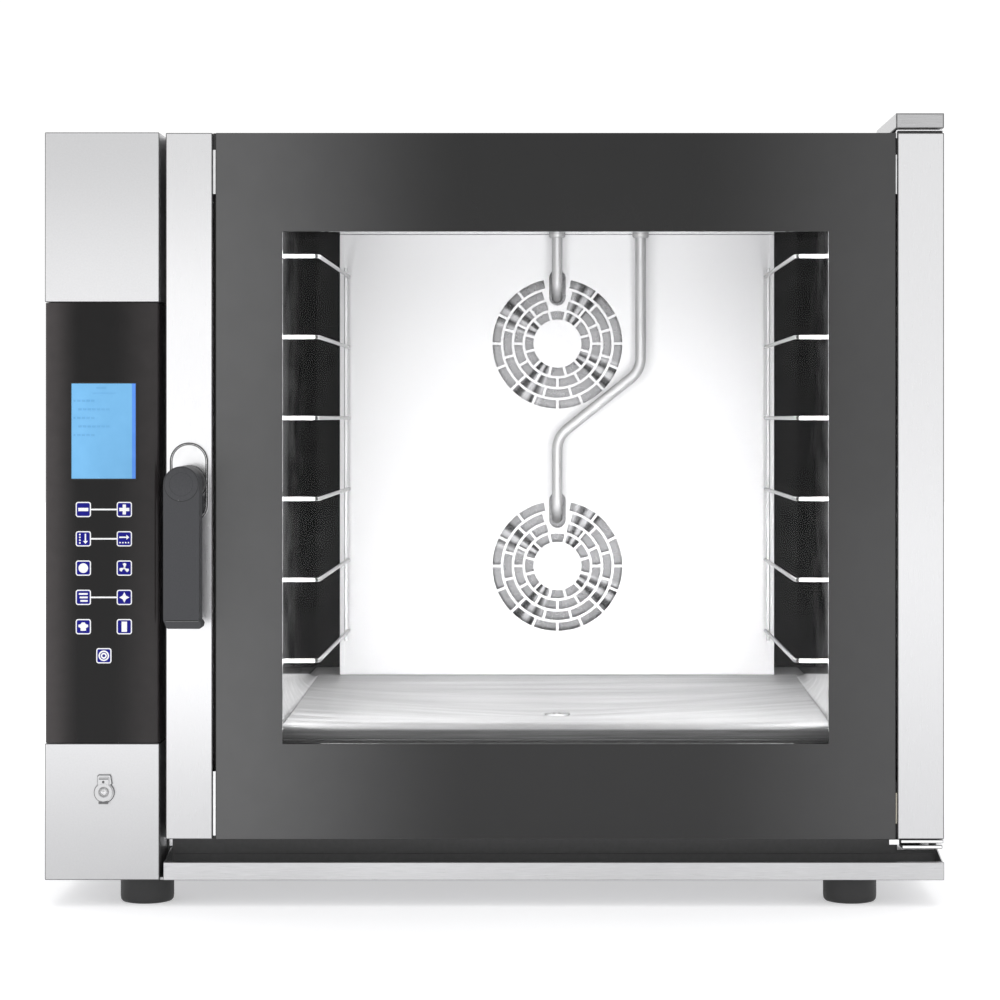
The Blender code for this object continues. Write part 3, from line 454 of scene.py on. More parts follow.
# ---- carried-over nodes ---------------------------------------------------------------------
def dress_nodes():
    """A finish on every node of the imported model, seen or not."""
    groups = {
        "steel_cover": ("left_side_cover", "right_side_cover", "top_cover", "rear_cover", "base_pan"),
        "steel_column": ("upper_column_panel", "lower_column_panel"),
        "steel_post_left": ("door_left_column",),
        "steel_post_right": ("door_right_column",),
        "steel_tray": ("drip_tray", "hinge_base"),
        "steel_cap": ("hinge_cap",),
        "steel_bright": ("handle_escutcheon", "probe_socket", "probe_flap", "cavity_ceiling"),
        "steel_wheel": ("fan_wheel_upper", "fan_wheel_lower"),
        "steel_wire": ("rack_left", "rack_right"),
        "steel_tube": ("steam_tube_upper", "steam_tube_lower"),
        "steel_baffle": ("fan_baffle",),
        "steel_floor": ("cavity_floor",),
        "steel_machined": ("hinge_pin_top", "hinge_pin_bottom", "handle_spindle", "latch_hook",
                           "latch_keeper", "fan_shaft_upper", "fan_shaft_lower", "drain_pipe", "vent_pipe"),
        "steel_shadow": ("cavity_left_wall", "cavity_right_wall"),
        "steel_rear_wall": ("cavity_back_wall", "heater_upper", "heater_lower"),
        "grey_frame": ("front_frame",),
        "dark_frame": ("fan_motor_upper", "fan_motor_lower"),
        "gasket_grey": ("door_gasket",),
        "rail_dark": ("door_top_rail", "door_bottom_rail"),
        "panel_black": ("control_panel",),
        "handle_plastic": ("door_handle",),
        "rubber_black": ("foot_front_left", "foot_front_right", "foot_rear_left", "foot_rear_right"),
        "plastic_black": ("water_valve", "cooling_fan_frame", "cooling_fan_rotor"),
        "wool": ("insulation_sleeve", "insulation_pad"),
        "board_green": ("display_module", "touch_board", "power_board"),
        "glass_clear": ("door_outer_glass", "door_inner_glass"),
    }
    for finish, names in groups.items():
        for name in names:
            mesh = NODES[name].data
            mesh.materials.clear()
            mesh.materials.append(FINISH[finish])


# ---- control column -------------------------------------------------------------------------
def make_column():
    left = -SIDE_X
    for name, node, low, high in (("column_top", "upper_column_panel", PANEL_Z[1] + 0.0004, 0.805),
                                  ("column_foot", "lower_column_panel", 0.0277, PANEL_Z[0] - 0.0004)):
        shell = box_mesh((left, FACE_Y, low), (COLUMN_RIGHT, BODY_Y - 0.0004, high))
        piece(name, shell, "steel_column", "body", 0.0009, (node,), "steel_edge")
    outline = [(left + 0.0004, BODY_Y - 0.0004), (left + 0.0004, FACE_Y + 0.004)]
    for corner_x, corner_y, start, radius in ((left + 0.0044, FACE_Y + 0.004, 180, 0.004),
                                              (COLUMN_RIGHT - 0.0060, FACE_Y + 0.0055, 270, 0.0055)):
        for i in range(CORNER_STEPS + 1):
            angle = math.radians(start + 90 * i / CORNER_STEPS)
            outline.append((corner_x + radius * math.cos(angle), corner_y + radius * math.sin(angle)))
    outline.append((COLUMN_RIGHT - 0.0005, BODY_Y - 0.0004))
    shell = prism(outline, [], "Z", PANEL_Z[0] + 0.0003, PANEL_Z[1] - 0.0003)
    piece("control_fascia", shell, "panel_black", "body", 0.0008, ("control_panel",))


def key_center(row, column):
    return KEY_X[column], KEY_TOP_Z - row * KEY_PITCH


def mark(marks, outline, holes=(), depth=2):
    """A flat print on the fascia, as many print layers thick as the depth says."""
    marks.append(prism(outline, list(holes), "Y", FACE_Y - PRINT * depth, FACE_Y + 0.0001))


def raised_mark(marks, outline, holes=()):
    """A print that lies on another print."""
    mark(marks, outline, holes, RAISED)


def bar(x, z, half_x, half_z):
    return rectangle(x - half_x, x + half_x, z - half_z, z + half_z)


def polar(x, z, pairs):
    return [(x + r * math.cos(math.radians(a)), z + r * math.sin(math.radians(a))) for r, a in pairs]


def arrow(x, z, length, turn):
    """An arrow from tail to head, turned from pointing along +X."""
    half = length / 2
    points = [(-half, -0.0007), (half - 0.003, -0.0007), (half - 0.003, -0.0026), (half, 0.0),
              (half - 0.003, 0.0026), (half - 0.003, 0.0007), (-half, 0.0007)]
    c, s = math.cos(turn), math.sin(turn)
    return [(x + u * c - v * s, z + u * s + v * c) for u, v in points]


def make_icons():
    """White pictures on the keys."""
    marks = []
    x, z = key_center(0, 0)
    raised_mark(marks, bar(x, z, 0.0052, 0.0017))
    x, z = key_center(0, 1)
    raised_mark(marks, bar(x, z, 0.0052, 0.0017))
    for arm in (0.00345, -0.00345):
        raised_mark(marks, bar(x, z + arm, 0.0017, 0.00172))
    x, z = key_center(1, 0)
    for i in range(4):
        raised_mark(marks, circle(x - 0.0036, z + 0.0044 - i * 0.0029, 0.0009, 12))
    raised_mark(marks, arrow(x + 0.0022, z, 0.0104, -math.pi / 2))
    x, z = key_center(1, 1)
    for i in range(4):
        raised_mark(marks, circle(x - 0.0044 + i * 0.0029, z - 0.0040, 0.0008, 12))
    raised_mark(marks, arrow(x, z + 0.0016, 0.0104, 0.0))
    x, z = key_center(2, 0)
    raised_mark(marks, circle(x, z, 0.0050, 32))
    x, z = key_center(2, 1)
    for k in range(3):
        turn = 90 + 120 * k
        blade = [(0.0006, turn - 40), (0.0030, turn - 34), (0.0050, turn - 26), (0.0055, turn),
                 (0.0047, turn + 22), (0.0026, turn + 16), (0.0006, turn + 40)]
        raised_mark(marks, polar(x, z, blade))
    raised_mark(marks, circle(x, z, 0.0012, 16))
    x, z = key_center(3, 0)
    for i in range(3):
        raised_mark(marks, bar(x + 0.0004 * i, z + 0.0036 - i * 0.0036, 0.0046 - 0.0004 * i, 0.0009))
    x, z = key_center(3, 1)
    star = [(0.0054 if i % 2 == 0 else 0.0026, 90 + 45 * i) for i in range(8)]
    raised_mark(marks, polar(x, z, star))
    x, z = key_center(4, 0)
    half_cap = ((0.0028, -0.0042), (0.0028, -0.0014), (0.0050, -0.0002), (0.0050, 0.0020),
                (0.0026, 0.0026), (0.0016, 0.0044))
    cap = [(x + u, z + v) for u, v in half_cap] + [(x - u, z + v) for u, v in half_cap[::-1]]
    raised_mark(marks, cap)
    x, z = key_center(4, 1)
    raised_mark(marks, bar(x, z, 0.0028, 0.0053))
    x, z = START_KEY
    raised_mark(marks, circle(x, z, 0.0055, 40), [circle(x, z, 0.0040, 40)])
    raised_mark(marks, circle(x, z, 0.0031, 32), [circle(x, z, 0.0016, 24)])
    piece("key_icons", merged(*marks), "print_white", "body")


def make_keys():
    half = KEY_SIZE / 2
    line = 0.0011
    centers = [key_center(row, column) for row in range(5) for column in range(2)] + [START_KEY]
    frames = []
    fills = []
    for x, z in centers:
        outer = rounded(x - half, x + half, z - half, z + half, 0.0026)
        inner = rounded(x - half + line, x + half - line, z - half + line, z + half - line, 0.0016)
        mark(frames, outer, [inner])
        mark(fills, inner)
    for row in (0, 1, 3):
        z = key_center(row, 0)[1]
        mark(frames, rectangle(KEY_X[0] + half, KEY_X[1] - half, z - 0.0008, z + 0.0008))
    piece("key_outlines", merged(*frames), "print_white", "body")
    piece("key_fills", merged(*fills), "print_blue", "body")
    make_icons()


def make_screen():
    x0, x1 = SCREEN_X
    z0, z1 = SCREEN_Z
    edge = 0.0038
    rim = []
    raised_mark(rim, rounded(x0 - 0.0014, x1 + 0.0014, z0 - 0.0014, z1 + 0.0014, 0.0012),
                [rectangle(x0, x1, z0, z1)])
    piece("screen_rim", merged(*rim), "handle_line", "body")
    field = []
    mark(field, rectangle(x0, x1 - edge, z0, z1))
    piece("screen_field", merged(*field), "screen_blue", "body")
    strip = []
    mark(strip, rectangle(x1 - edge, x1, z0, z1))
    piece("screen_side_strip", merged(*strip), "screen_edge", "body")
    rows = []
    top = z1 - 0.0046
    raised_mark(rows, rectangle(x0 + 0.026, x0 + 0.036, top - 0.0010, top + 0.0010))
    raised_mark(rows, rectangle(x0 + 0.022, x0 + 0.046, z1 - 0.0104, z1 - 0.0098))
    for i in range(5):
        z = z1 - 0.0180 - i * 0.0089
        indent = 0.0058 + 0.0012 * (i % 2)
        dashes = 4 + 3 * (i % 2)
        for k in range(dashes):
            start = x0 + indent + k * 0.0048
            raised_mark(rows, rectangle(start, start + 0.0036, z - 0.0010, z + 0.0010))
        if i % 2 == 0:
            raised_mark(rows, rectangle(x0 + 0.0022, x0 + 0.0040, z - 0.0010, z + 0.0010))
    piece("screen_rows", merged(*rows), "screen_line", "body")


def make_probe_socket():
    """The core probe's socket: a shield plate with a rivet, and a swivelling round lid."""
    x, z = PROBE_X, PROBE_Z
    shield = [(x - 0.0072, z + 0.0156), (x - 0.0060, z + 0.0172), (x + 0.0062, z + 0.0172),
              (x + 0.0072, z + 0.0156), (x + 0.0086, z + 0.0076)]
    shield += polar(x, z - 0.0014, [(0.0108, a) for a in range(48, -229, -12)])
    y = FACE_Y
    mouth = (x, z - 0.0012)
    plate = prism(shield[::-1], [circle(*mouth, 0.0046, 32)], "Y", y - 0.0026, y - 0.0002)
    piece("probe_shield", plate, "steel_column", "body", 0.0008,
          ("probe_socket",), "steel_edge")
    neck = turned([(0.0046, y - 0.0028), (0.0056, y - 0.0028), (0.0056, y + 0.018),
                   (0.0046, y + 0.018), (0.0046, y - 0.0028)], mouth, "Y", 32)
    piece("probe_socket_neck", neck, "steel_machined", "body")
    disc = prism(circle(x - 0.0003, z - 0.0012, 0.0092, 48), [], "Y", y - 0.0050, y - 0.0030)
    piece("probe_lid", disc, "steel_column", "probe_flap", 0.0006,
          ("probe_flap",), "steel_edge")
    tab = rounded(x - 0.0054, x + 0.0050, z + 0.0060, z + 0.0146, 0.0010)
    tab = prism(tab, [], "Y", y - 0.0046, y - 0.0030)
    piece("probe_lid_tab", tab, "steel_column", "probe_flap", 0.0005, (), "steel_edge")
    fold = box_mesh((x - 0.0050, y - 0.0049, z + 0.0124), (x + 0.0046, y - 0.0044, z + 0.0136))
    lip = rounded(x - 0.0054, x + 0.0046, z - 0.0130, z - 0.0104, 0.0008)
    lip = prism(lip, [], "Y", y - 0.0052, y - 0.0034)
    piece("probe_lid_lip", merged(fold, lip), "steel_edge", "probe_flap", 0.0003)
    lens = (x - 0.0001, z - 0.0006)
    ring = turned([(0.0036, y - 0.0056), (0.0046, y - 0.0062), (0.0055, y - 0.0056), (0.0055, y - 0.0049),
                   (0.0036, y - 0.0049), (0.0036, y - 0.0056)], lens, "Y", 40)
    piece("probe_lens_ring", ring, "steel_lens", "probe_flap")
    # the bright bead: painted highlight in the lens ring
    bead = turned([(0.0, y - 0.0062), (0.0014, y - 0.0060), (0.0026, y - 0.0054), (0.0034, y - 0.0049),
                   (0.0, y - 0.0049)], lens, "Y", 32)
    piece("probe_lens", bead, "lens_painted_highlight", "probe_flap")
    rivet = turned([(0.0, y - 0.0058), (0.0008, y - 0.0057), (0.0013, y - 0.0050), (0.0013, y - 0.0045),
                    (0.0, y - 0.0045)], (x - 0.0006, z + 0.0098), "Y", 24)
    piece("probe_rivet", rivet, "steel_edge", "probe_flap")


# ---- door -----------------------------------------------------------------------------------
def make_door():
    for side in ("left", "right"):
        node = f"door_{side}_column"
        piece(f"door_post_{side}", box_mesh(*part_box(node)), f"steel_post_{side}", "door",
              0.0011, (node,), "steel_edge")
    low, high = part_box("door_outer_glass")
    window = rounded(*WINDOW_X, *WINDOW_Z, 0.0006, 2)
    border = prism(rectangle(low.x, high.x, low.z, high.z), [window], "Y", low.y, high.y)
    piece("glass_dark_border", border, "glass_border", "door", 0.0005,
          ("door_outer_glass",), "rail_dark")
    gap = 0.0001
    pane = rounded(WINDOW_X[0] + gap, WINDOW_X[1] - gap, WINDOW_Z[0] + gap, WINDOW_Z[1] - gap, 0.0006, 2)
    pane = prism(pane, [], "Y", low.y + 0.0004, high.y - 0.0004)
    piece("glass_window_pane", pane, "glass_clear", "door")
    make_glass_clips()


def make_glass_clips():
    """Bright clips that hold the glass along both posts."""
    left = (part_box("door_left_column")[1].x + 0.0003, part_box("door_outer_glass")[0].x - 0.0003)
    right = (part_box("door_outer_glass")[1].x + 0.0002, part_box("door_right_column")[0].x - 0.0002)
    clips = []
    for (x0, x1), spans in ((left, ((0.741, 0.787), (0.0735, 0.1405))), (right, ((0.741, 0.782),))):
        for z0, z1 in spans:
            clips.append(box_mesh((x0, FACE_Y + 0.0025, z0), (x1, FACE_Y + 0.012, z1)))
    piece("glass_clips", merged(*clips), "steel_bright", "door", 0.0003)
    packer = box_mesh((right[0], FACE_Y + 0.0020, 0.086), (right[1], FACE_Y + 0.012, 0.118))
    piece("glass_packer", packer, "plastic_beige", "door", 0.0003)
    seal = [box_mesh((x0 + 0.0001, FACE_Y + 0.013, 0.0705), (x1 - 0.0001, FACE_Y + 0.020, 0.8035))
            for x0, x1 in (left, right)]
    piece("glass_edge_seal", merged(*seal), "rubber_black", "door", 0.0003)


def make_hinges():
    low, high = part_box("hinge_cap")
    cap = prism([(low.y, 0.809), (-0.337, 0.809), (-0.337, 0.8053), (high.y, 0.8053), (high.y, high.z),
                 (low.y, high.z)], [], "X", low.x, high.x)
    piece("hinge_cap_cover", cap, "steel_cap", "body", 0.0014,
          ("hinge_cap",), "steel_edge")
    low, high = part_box("hinge_base")
    plate = prism([(0.4240, FACE_Y + 0.002), (high.x, FACE_Y + 0.002), (high.x, -0.337), (0.4225, -0.337)],
                  [], "Z", 0.0598, 0.0636)
    leg = box_mesh((0.4250, BODY_Y - 0.0062, low.z), (high.x, BODY_Y - 0.0033, 0.0634))
    piece("hinge_base_bracket", merged(plate, leg), "steel_bright", "body", 0.0007,
          ("hinge_base",), "steel_edge")
    shoe = box_mesh((0.4225, FACE_Y + 0.001, 0.0658), (0.4668, -0.343, 0.0693))
    piece("hinge_shoe", shoe, "steel_bright", "door", 0.0006, (), "steel_edge")
    stop = box_mesh((0.4104, FACE_Y + 0.001, 0.0643), (0.4208, FACE_Y + 0.009, 0.0697))
    piece("hinge_stop", stop, "steel_bright", "door", 0.0003)
    y = FACE_Y + 0.0010
    path = [(0.4180, y, 0.7990), (0.4180, y, 0.8072), (0.4665, y, 0.8072), (0.4665, y, 0.8052)]
    strip = tube_mesh(rounded_path(path, 0.0018, 5), 0.0007, 10)
    piece("post_top_strip", strip, "steel_bright", "door")
    # a dark plate in the gap under the hinge cap: painted shade
    shade_plate = box_mesh((0.4186, FACE_Y + 0.0030, 0.8047), (0.4662, -0.3440, 0.8068))
    piece("post_top_shade_plate", shade_plate, "dark_frame", "door", 0.0003)


def lever_outline():
    """The lever seen from the front: a round top, straight sides and a flared lower lip."""
    x, z = HANDLE_X, HANDLE_Z
    crease = LIP_TOP_Z
    right = [(x + HANDLE_HALF, crease), (x + HANDLE_HALF + 0.0016, crease - 0.0016),
             (x + HANDLE_HALF + 0.0024, crease - 0.0040), (x + HANDLE_HALF + 0.0018, HANDLE_LOW + 0.0014),
             (x + HANDLE_HALF + 0.0002, HANDLE_LOW)]
    left = [(x - HANDLE_HALF + 0.0046, HANDLE_LOW), (x - HANDLE_HALF + 0.0030, HANDLE_LOW + 0.0012),
            (x - HANDLE_HALF + 0.0016, crease - 0.0030), (x - HANDLE_HALF, crease)]
    top = [(x + HANDLE_HALF * math.cos(math.pi * i / 40), z + HANDLE_HALF * math.sin(math.pi * i / 40))
           for i in range(41)]
    return right[::-1] + top + left[::-1]


def make_handle():
    x, z = HANDLE_X, HANDLE_Z
    front = HANDLE_FRONT + 0.0005
    grip = prism(lever_outline(), [], "Y", front, HANDLE_BACK)
    # the lever's rounded edges get the dark handle_line finish: painted shade
    made = piece("lever_grip", grip, "handle_plastic", "handle", 0.0020,
                 ("door_handle",), "handle_line")
    made.modifiers["rounding"].segments = 4
    neck = turned([(0.0, HANDLE_BACK - 0.004), (0.0168, HANDLE_BACK - 0.004), (0.0176, HANDLE_BACK + 0.004),
                   (0.0186, -0.4200), (0.0186, -0.4120), (0.0172, -0.4100), (0.0172, -0.4070),
                   (0.0186, -0.4060), (0.0186, -0.4036), (0.0, -0.4036)], (x, z), "Y")
    piece("lever_neck", neck, "neck_plastic", "handle")
    disc = turned([(0.0, HANDLE_FRONT), (0.0166, HANDLE_FRONT), (0.0171, HANDLE_FRONT + 0.0003),
                   (0.0171, front + 0.0004), (0.0, front + 0.0004)], (x, z), "Y", 64)
    piece("lever_round_mark", disc, "handle_plastic", "handle")
    # dark rings in the groove and round the centre, and a dark crease line: painted shade
    groove = prism(circle(x, z, 0.0176, 64), [circle(x, z, 0.0171, 64)], "Y",
                   front - 0.00005, front + 0.0003)
    inner = prism(circle(x, z, 0.0120, 64), [circle(x, z, 0.0118, 64)], "Y", HANDLE_FRONT - 0.00003, front)
    crease = box_mesh((x - HANDLE_HALF + 0.0020, front - 0.00005, LIP_TOP_Z - 0.0004),
                      (x + HANDLE_HALF - 0.0010, front + 0.0003, LIP_TOP_Z + 0.0003))
    piece("lever_lines", merged(groove, inner, crease), "handle_line", "handle")
    dot = prism(circle(x - 0.0028, z - 0.0162, 0.0006, 16), [], "Y", HANDLE_FRONT - 0.00003, front + 0.0003)
    ridge = box_mesh((x - HANDLE_HALF + 0.0024, front - 0.00006, LIP_TOP_Z - 0.0013),
                     (x + HANDLE_HALF - 0.0008, front + 0.0003, LIP_TOP_Z - 0.0007))
    piece("lever_highlights", merged(dot, ridge), "steel_edge", "handle")


def make_escutcheon():
    """A bright plate with round ends and a double rim, dark outside and bright inside; the rim's dark bands
    and bright middle line are painted reflections.
    """
    x, z = HANDLE_X, HANDLE_Z
    half, reach = 0.0198, 0.0420

    def outline(inset):
        return rounded(x - half + inset, x + half - inset, z - reach + inset, z + reach - inset,
                       half - inset - 0.0001, 16)

    plate = prism(outline(0.0026), [circle(x, z, 0.0072, 32)], "Y", FACE_Y - 0.0016, FACE_Y - 0.0002)
    piece("escutcheon_plate", plate, "steel_plate", "door", 0.0, ("handle_escutcheon",))
    # dark outer and inner bands and a bright middle line: painted reflection
    for name, start, end, finish in (("outer", 0.0, 0.0012, "chrome_painted_reflection"),
                                     ("middle", 0.0012, 0.0018, "steel_plate"),
                                     ("inner", 0.0018, 0.0026, "chrome_painted_reflection")):
        ring = prism(outline(start), [outline(end)], "Y", FACE_Y - 0.0030, FACE_Y - 0.0002)
        piece(f"escutcheon_rim_{name}", ring, finish, "door", 0.0002)


# ---- cavity ---------------------------------------------------------------------------------
def arc_slot(u, v, inner, outer, start, end, steps=6):
    """A slot between two radii, with ribs of an even width left at both ends."""
    points = []
    for radius, order in ((inner, range(steps + 1)), (outer, range(steps, -1, -1))):
        rib = SLOT_RIB / 2 / radius
        for i in order:
            angle = start + rib + (end - start - 2 * rib) * i / steps
            points.append((u + radius * math.cos(angle), v + radius * math.sin(angle)))
    return points


def slot_ring_angles():
    """For each ring of slots, the angles of its ribs; the upper tube's oval hole breaks rings 2 to 4."""
    full = [math.radians(15 + 30 * i) for i in range(13)]

    def split(lower_slots, upper_slots, half_gap):
        top = math.pi / 2
        reach = top - half_gap
        right = [reach * i / upper_slots for i in range(upper_slots + 1)]
        left = [top + half_gap + reach * i / upper_slots for i in range(upper_slots + 1)]
        lower = [math.pi + math.pi * i / lower_slots for i in range(lower_slots + 1)]
        return [right, left, lower]

    ring_three = [[angle for angle in full if angle > 1.8], full[:3]]
    return [[full], split(6, 3, math.radians(13)), ring_three, split(8, 3, math.radians(11))]


def oval(u, v0, v1, radius, steps=10):
    """An upright slot outline with round ends, from v0 to v1."""
    arc = [(radius * math.cos(math.pi * i / steps), radius * math.sin(math.pi * i / steps))
           for i in range(steps + 1)]
    top = [(u + across, v1 - radius + up) for across, up in arc]
    low = [(u - across, v0 + radius - up) for across, up in arc]
    return top + low


def make_baffle():
    """The slotted rear baffle, its two long edges folded back."""
    slots = []
    for z in FAN_Z:
        for ring, runs in enumerate(slot_ring_angles()):
            inner = SLOT_INNER + ring * SLOT_PITCH
            for run in runs:
                slots += [arc_slot(FAN_X, z, inner, inner + SLOT_WIDTH, a, b) for a, b in zip(run, run[1:])]
        slots.append(oval(FAN_X, z + 0.0470, z + 0.0915, 0.0102))
    x0, x1 = CAVITY_X - BAFFLE_HALF, CAVITY_X + BAFFLE_HALF
    z0, z1 = REAR_FLOOR_Z + 0.0007, CAVITY_TOP - 0.0004
    sheet = prism(rectangle(x0, x1, z0, z1), slots, "Y", BAFFLE_Y, BAFFLE_Y + 0.0015)
    piece("baffle_sheet", sheet, "steel_baffle", "body", 0.0, ("fan_baffle",))
    folds = [box_mesh((x, BAFFLE_Y - 0.0004, z0), (x + 0.0055, BAFFLE_Y + 0.0002, z1))
             for x in (x0, x1 - 0.0055)]
    returns = [box_mesh((x, BAFFLE_Y + 0.0005, z0), (x + 0.0015, BAFFLE_Y + 0.020, z1))
               for x in (x0, x1 - 0.0015)]
    piece("baffle_folds", merged(*folds, *returns), "steel_baffle", "body", 0.0003)


def spun_steel_painted_reflection(name):
    """Lathe-turned steel: fine rings, with dark and bright streaks that stand like spokes; the streaks are
    painted reflections in the colour.
    """
    made = surface(name, grey(0.60), grey(0.68), (0.22, 0.32), 1.0, (1, 1, 1), 60.0)
    nodes, links = made.node_tree.nodes, made.node_tree.links
    shader = nodes["Principled BSDF"]
    base = shader.inputs["Base Color"].links[0].from_socket
    place = nodes.new("ShaderNodeTexCoord")
    split = nodes.new("ShaderNodeSeparateXYZ")
    angle = nodes.new("ShaderNodeMath")
    angle.operation = "ARCTAN2"
    turns = nodes.new("ShaderNodeMath")
    turns.operation = "MULTIPLY_ADD"
    turns.inputs[1].default_value = 4 / (2 * math.pi)
    turns.inputs[2].default_value = 0.83
    part = nodes.new("ShaderNodeMath")
    part.operation = "FRACT"
    ramp = nodes.new("ShaderNodeValToRGB")
    # dark and bright streaks, four times round: painted reflection
    stops = ((0.0, 0.95), (0.34, 0.80), (0.38, 0.12), (0.43, 0.30), (0.46, 1.4), (0.50, 1.3),
             (0.54, 0.16), (0.58, 0.50), (0.62, 1.35), (0.66, 0.85))
    ramp.color_ramp.elements[0].color = (*grey(stops[0][1]), 1.0)
    ramp.color_ramp.elements[1].color = (*grey(stops[0][1]), 1.0)
    for position, value in stops[1:]:
        ramp.color_ramp.elements.new(position).color = (*grey(value), 1.0)
    mix = nodes.new("ShaderNodeMix")
    mix.data_type = "RGBA"
    mix.blend_type = "MULTIPLY"
    mix.inputs["Factor"].default_value = 1.0
    links.new(place.outputs["Object"], split.inputs[0])
    links.new(split.outputs["Z"], angle.inputs[0])
    links.new(split.outputs["X"], angle.inputs[1])
    links.new(angle.outputs[0], turns.inputs[0])
    links.new(turns.outputs[0], part.inputs[0])
    links.new(part.outputs[0], ramp.inputs["Fac"])
    links.new(base, mix.inputs["A"])
    links.new(ramp.outputs["Color"], mix.inputs["B"])
    links.new(mix.outputs["Result"], shader.inputs["Base Color"])
    return made


def make_wheel_rings():
    """The turned front ring of each fan wheel, seen through the slots."""
    for name, z in zip(("upper", "lower"), FAN_Z):
        rows = [(0.024, 0.1890), (0.040, 0.1887), (0.060, 0.1886), (0.080, 0.1887), (0.100, 0.1892),
                (0.100, 0.1898), (0.024, 0.1898), (0.024, 0.1890)]
        ring = turned(rows, (0.0, 0.0), "Y", 96)
        FINISH[f"steel_spun_reflection_{name}"] = spun_steel_painted_reflection(f"steel_spun_reflection_{name}")
        piece(f"wheel_front_ring_{name}", ring, f"steel_spun_reflection_{name}", f"fan_{name}",
              place=(FAN_X, 0.0, z))


def make_floor():
    """The floor: a rear ledge, then four soft slopes down to the drain."""
    left, right = CAVITY_X - CAVITY_HALF + 0.0004, CAVITY_X + CAVITY_HALF - 0.0004
    front, back = BODY_Y + 0.0004, 0.2846
    columns, rows = 96, 72
    bm = bmesh.new()
    grid = []
    for j in range(rows + 1):
        y = front + (back - front) * j / rows
        line = []
        for i in range(columns + 1):
            x = left + (right - left) * i / columns
            u = abs((x - CAVITY_X) / CAVITY_HALF)
            v = (y - DRAIN_Y) / ((0.105 if y > DRAIN_Y else front) - DRAIN_Y)
            reach = min(1.0, (u ** 5 + min(abs(v), 1.2) ** 5) ** 0.2)
            rim = LIP_Z + (REAR_FLOOR_Z - LIP_Z) * min(1.0, (y - front) / (BAFFLE_Y - front))
            ease = reach ** 1.25
            z = DRAIN_Z + (rim - DRAIN_Z) * ease
            line.append(bm.verts.new((x, y, z)))
        grid.append(line)
    for lower, upper in zip(grid, grid[1:]):
        for i in range(columns):
            bm.faces.new((lower[i], lower[i + 1], upper[i + 1], upper[i]))
    bmesh.ops.recalc_face_normals(bm, faces=bm.faces[:])
    made = piece("cavity_floor_dish", bm, "steel_floor", "body", 0.0, ("cavity_floor",))
    sheet = made.modifiers.new("sheet", "SOLIDIFY")
    sheet.thickness = 0.001
    sheet.offset = -1.0
    z = DRAIN_Z + 0.0012
    ring = polar(CAVITY_X, DRAIN_Y, [(0.0085, 45 * k) for k in range(8)])
    holes = [circle(u, v, 0.0020, 14) for u, v in ring]
    holes.append(circle(CAVITY_X, DRAIN_Y, 0.0028, 18))
    grate = prism(circle(CAVITY_X, DRAIN_Y, 0.0145, 48), holes, "Z", z - 0.0008, z + 0.0010)
    piece("drain_grate", grate, "steel_tube", "body", 0.0002)
    # a dark disc under the grate: painted shade of the drain opening
    shade_disc = prism(circle(CAVITY_X, DRAIN_Y, 0.0140, 40), [], "Z", DRAIN_Z - 0.0030, z - 0.0009)
    piece("drain_shade_disc", shade_disc, "handle_line", "body")
    trim = box_mesh((left + 0.001, BODY_Y - 0.0030, LIP_Z - 0.0098),
                    (right - 0.001, BODY_Y + 0.0001, LIP_Z - 0.0002))
    piece("mouth_lower_trim", trim, "steel_lip", "body", 0.0010)


def make_coves():
    """Bright coves where the side walls meet the floor, higher towards the front."""
    stations, facets = 24, 8
    for name, way in (("left", -1), ("right", 1)):
        wall = CAVITY_X + way * (CAVITY_HALF - 0.0003)
        bm = bmesh.new()
        rows = []
        for i in range(stations + 1):
            y = BODY_Y + 0.002 + (BAFFLE_Y - BODY_Y - 0.004) * i / stations
            high = 0.2360 - 0.0440 * i / stations
            low = LIP_Z + 0.0004 + (REAR_FLOOR_Z - LIP_Z) * i / stations
            rows.append([bm.verts.new((wall - way * 0.012 * (1 - k / facets) ** 2, y,
                                       low + (high - low) * k / facets)) for k in range(facets + 1)])
        for a, b in zip(rows, rows[1:]):
            for k in range(facets):
                bm.faces.new((a[k], a[k + 1], b[k + 1], b[k]))
        bmesh.ops.recalc_face_normals(bm, faces=bm.faces[:])
        made = piece(f"floor_cove_{name}", bm, "steel_floor", "body")
        sheet = made.modifiers.new("sheet", "SOLIDIFY")
        sheet.thickness = 0.0002
        sheet.offset = 0.0


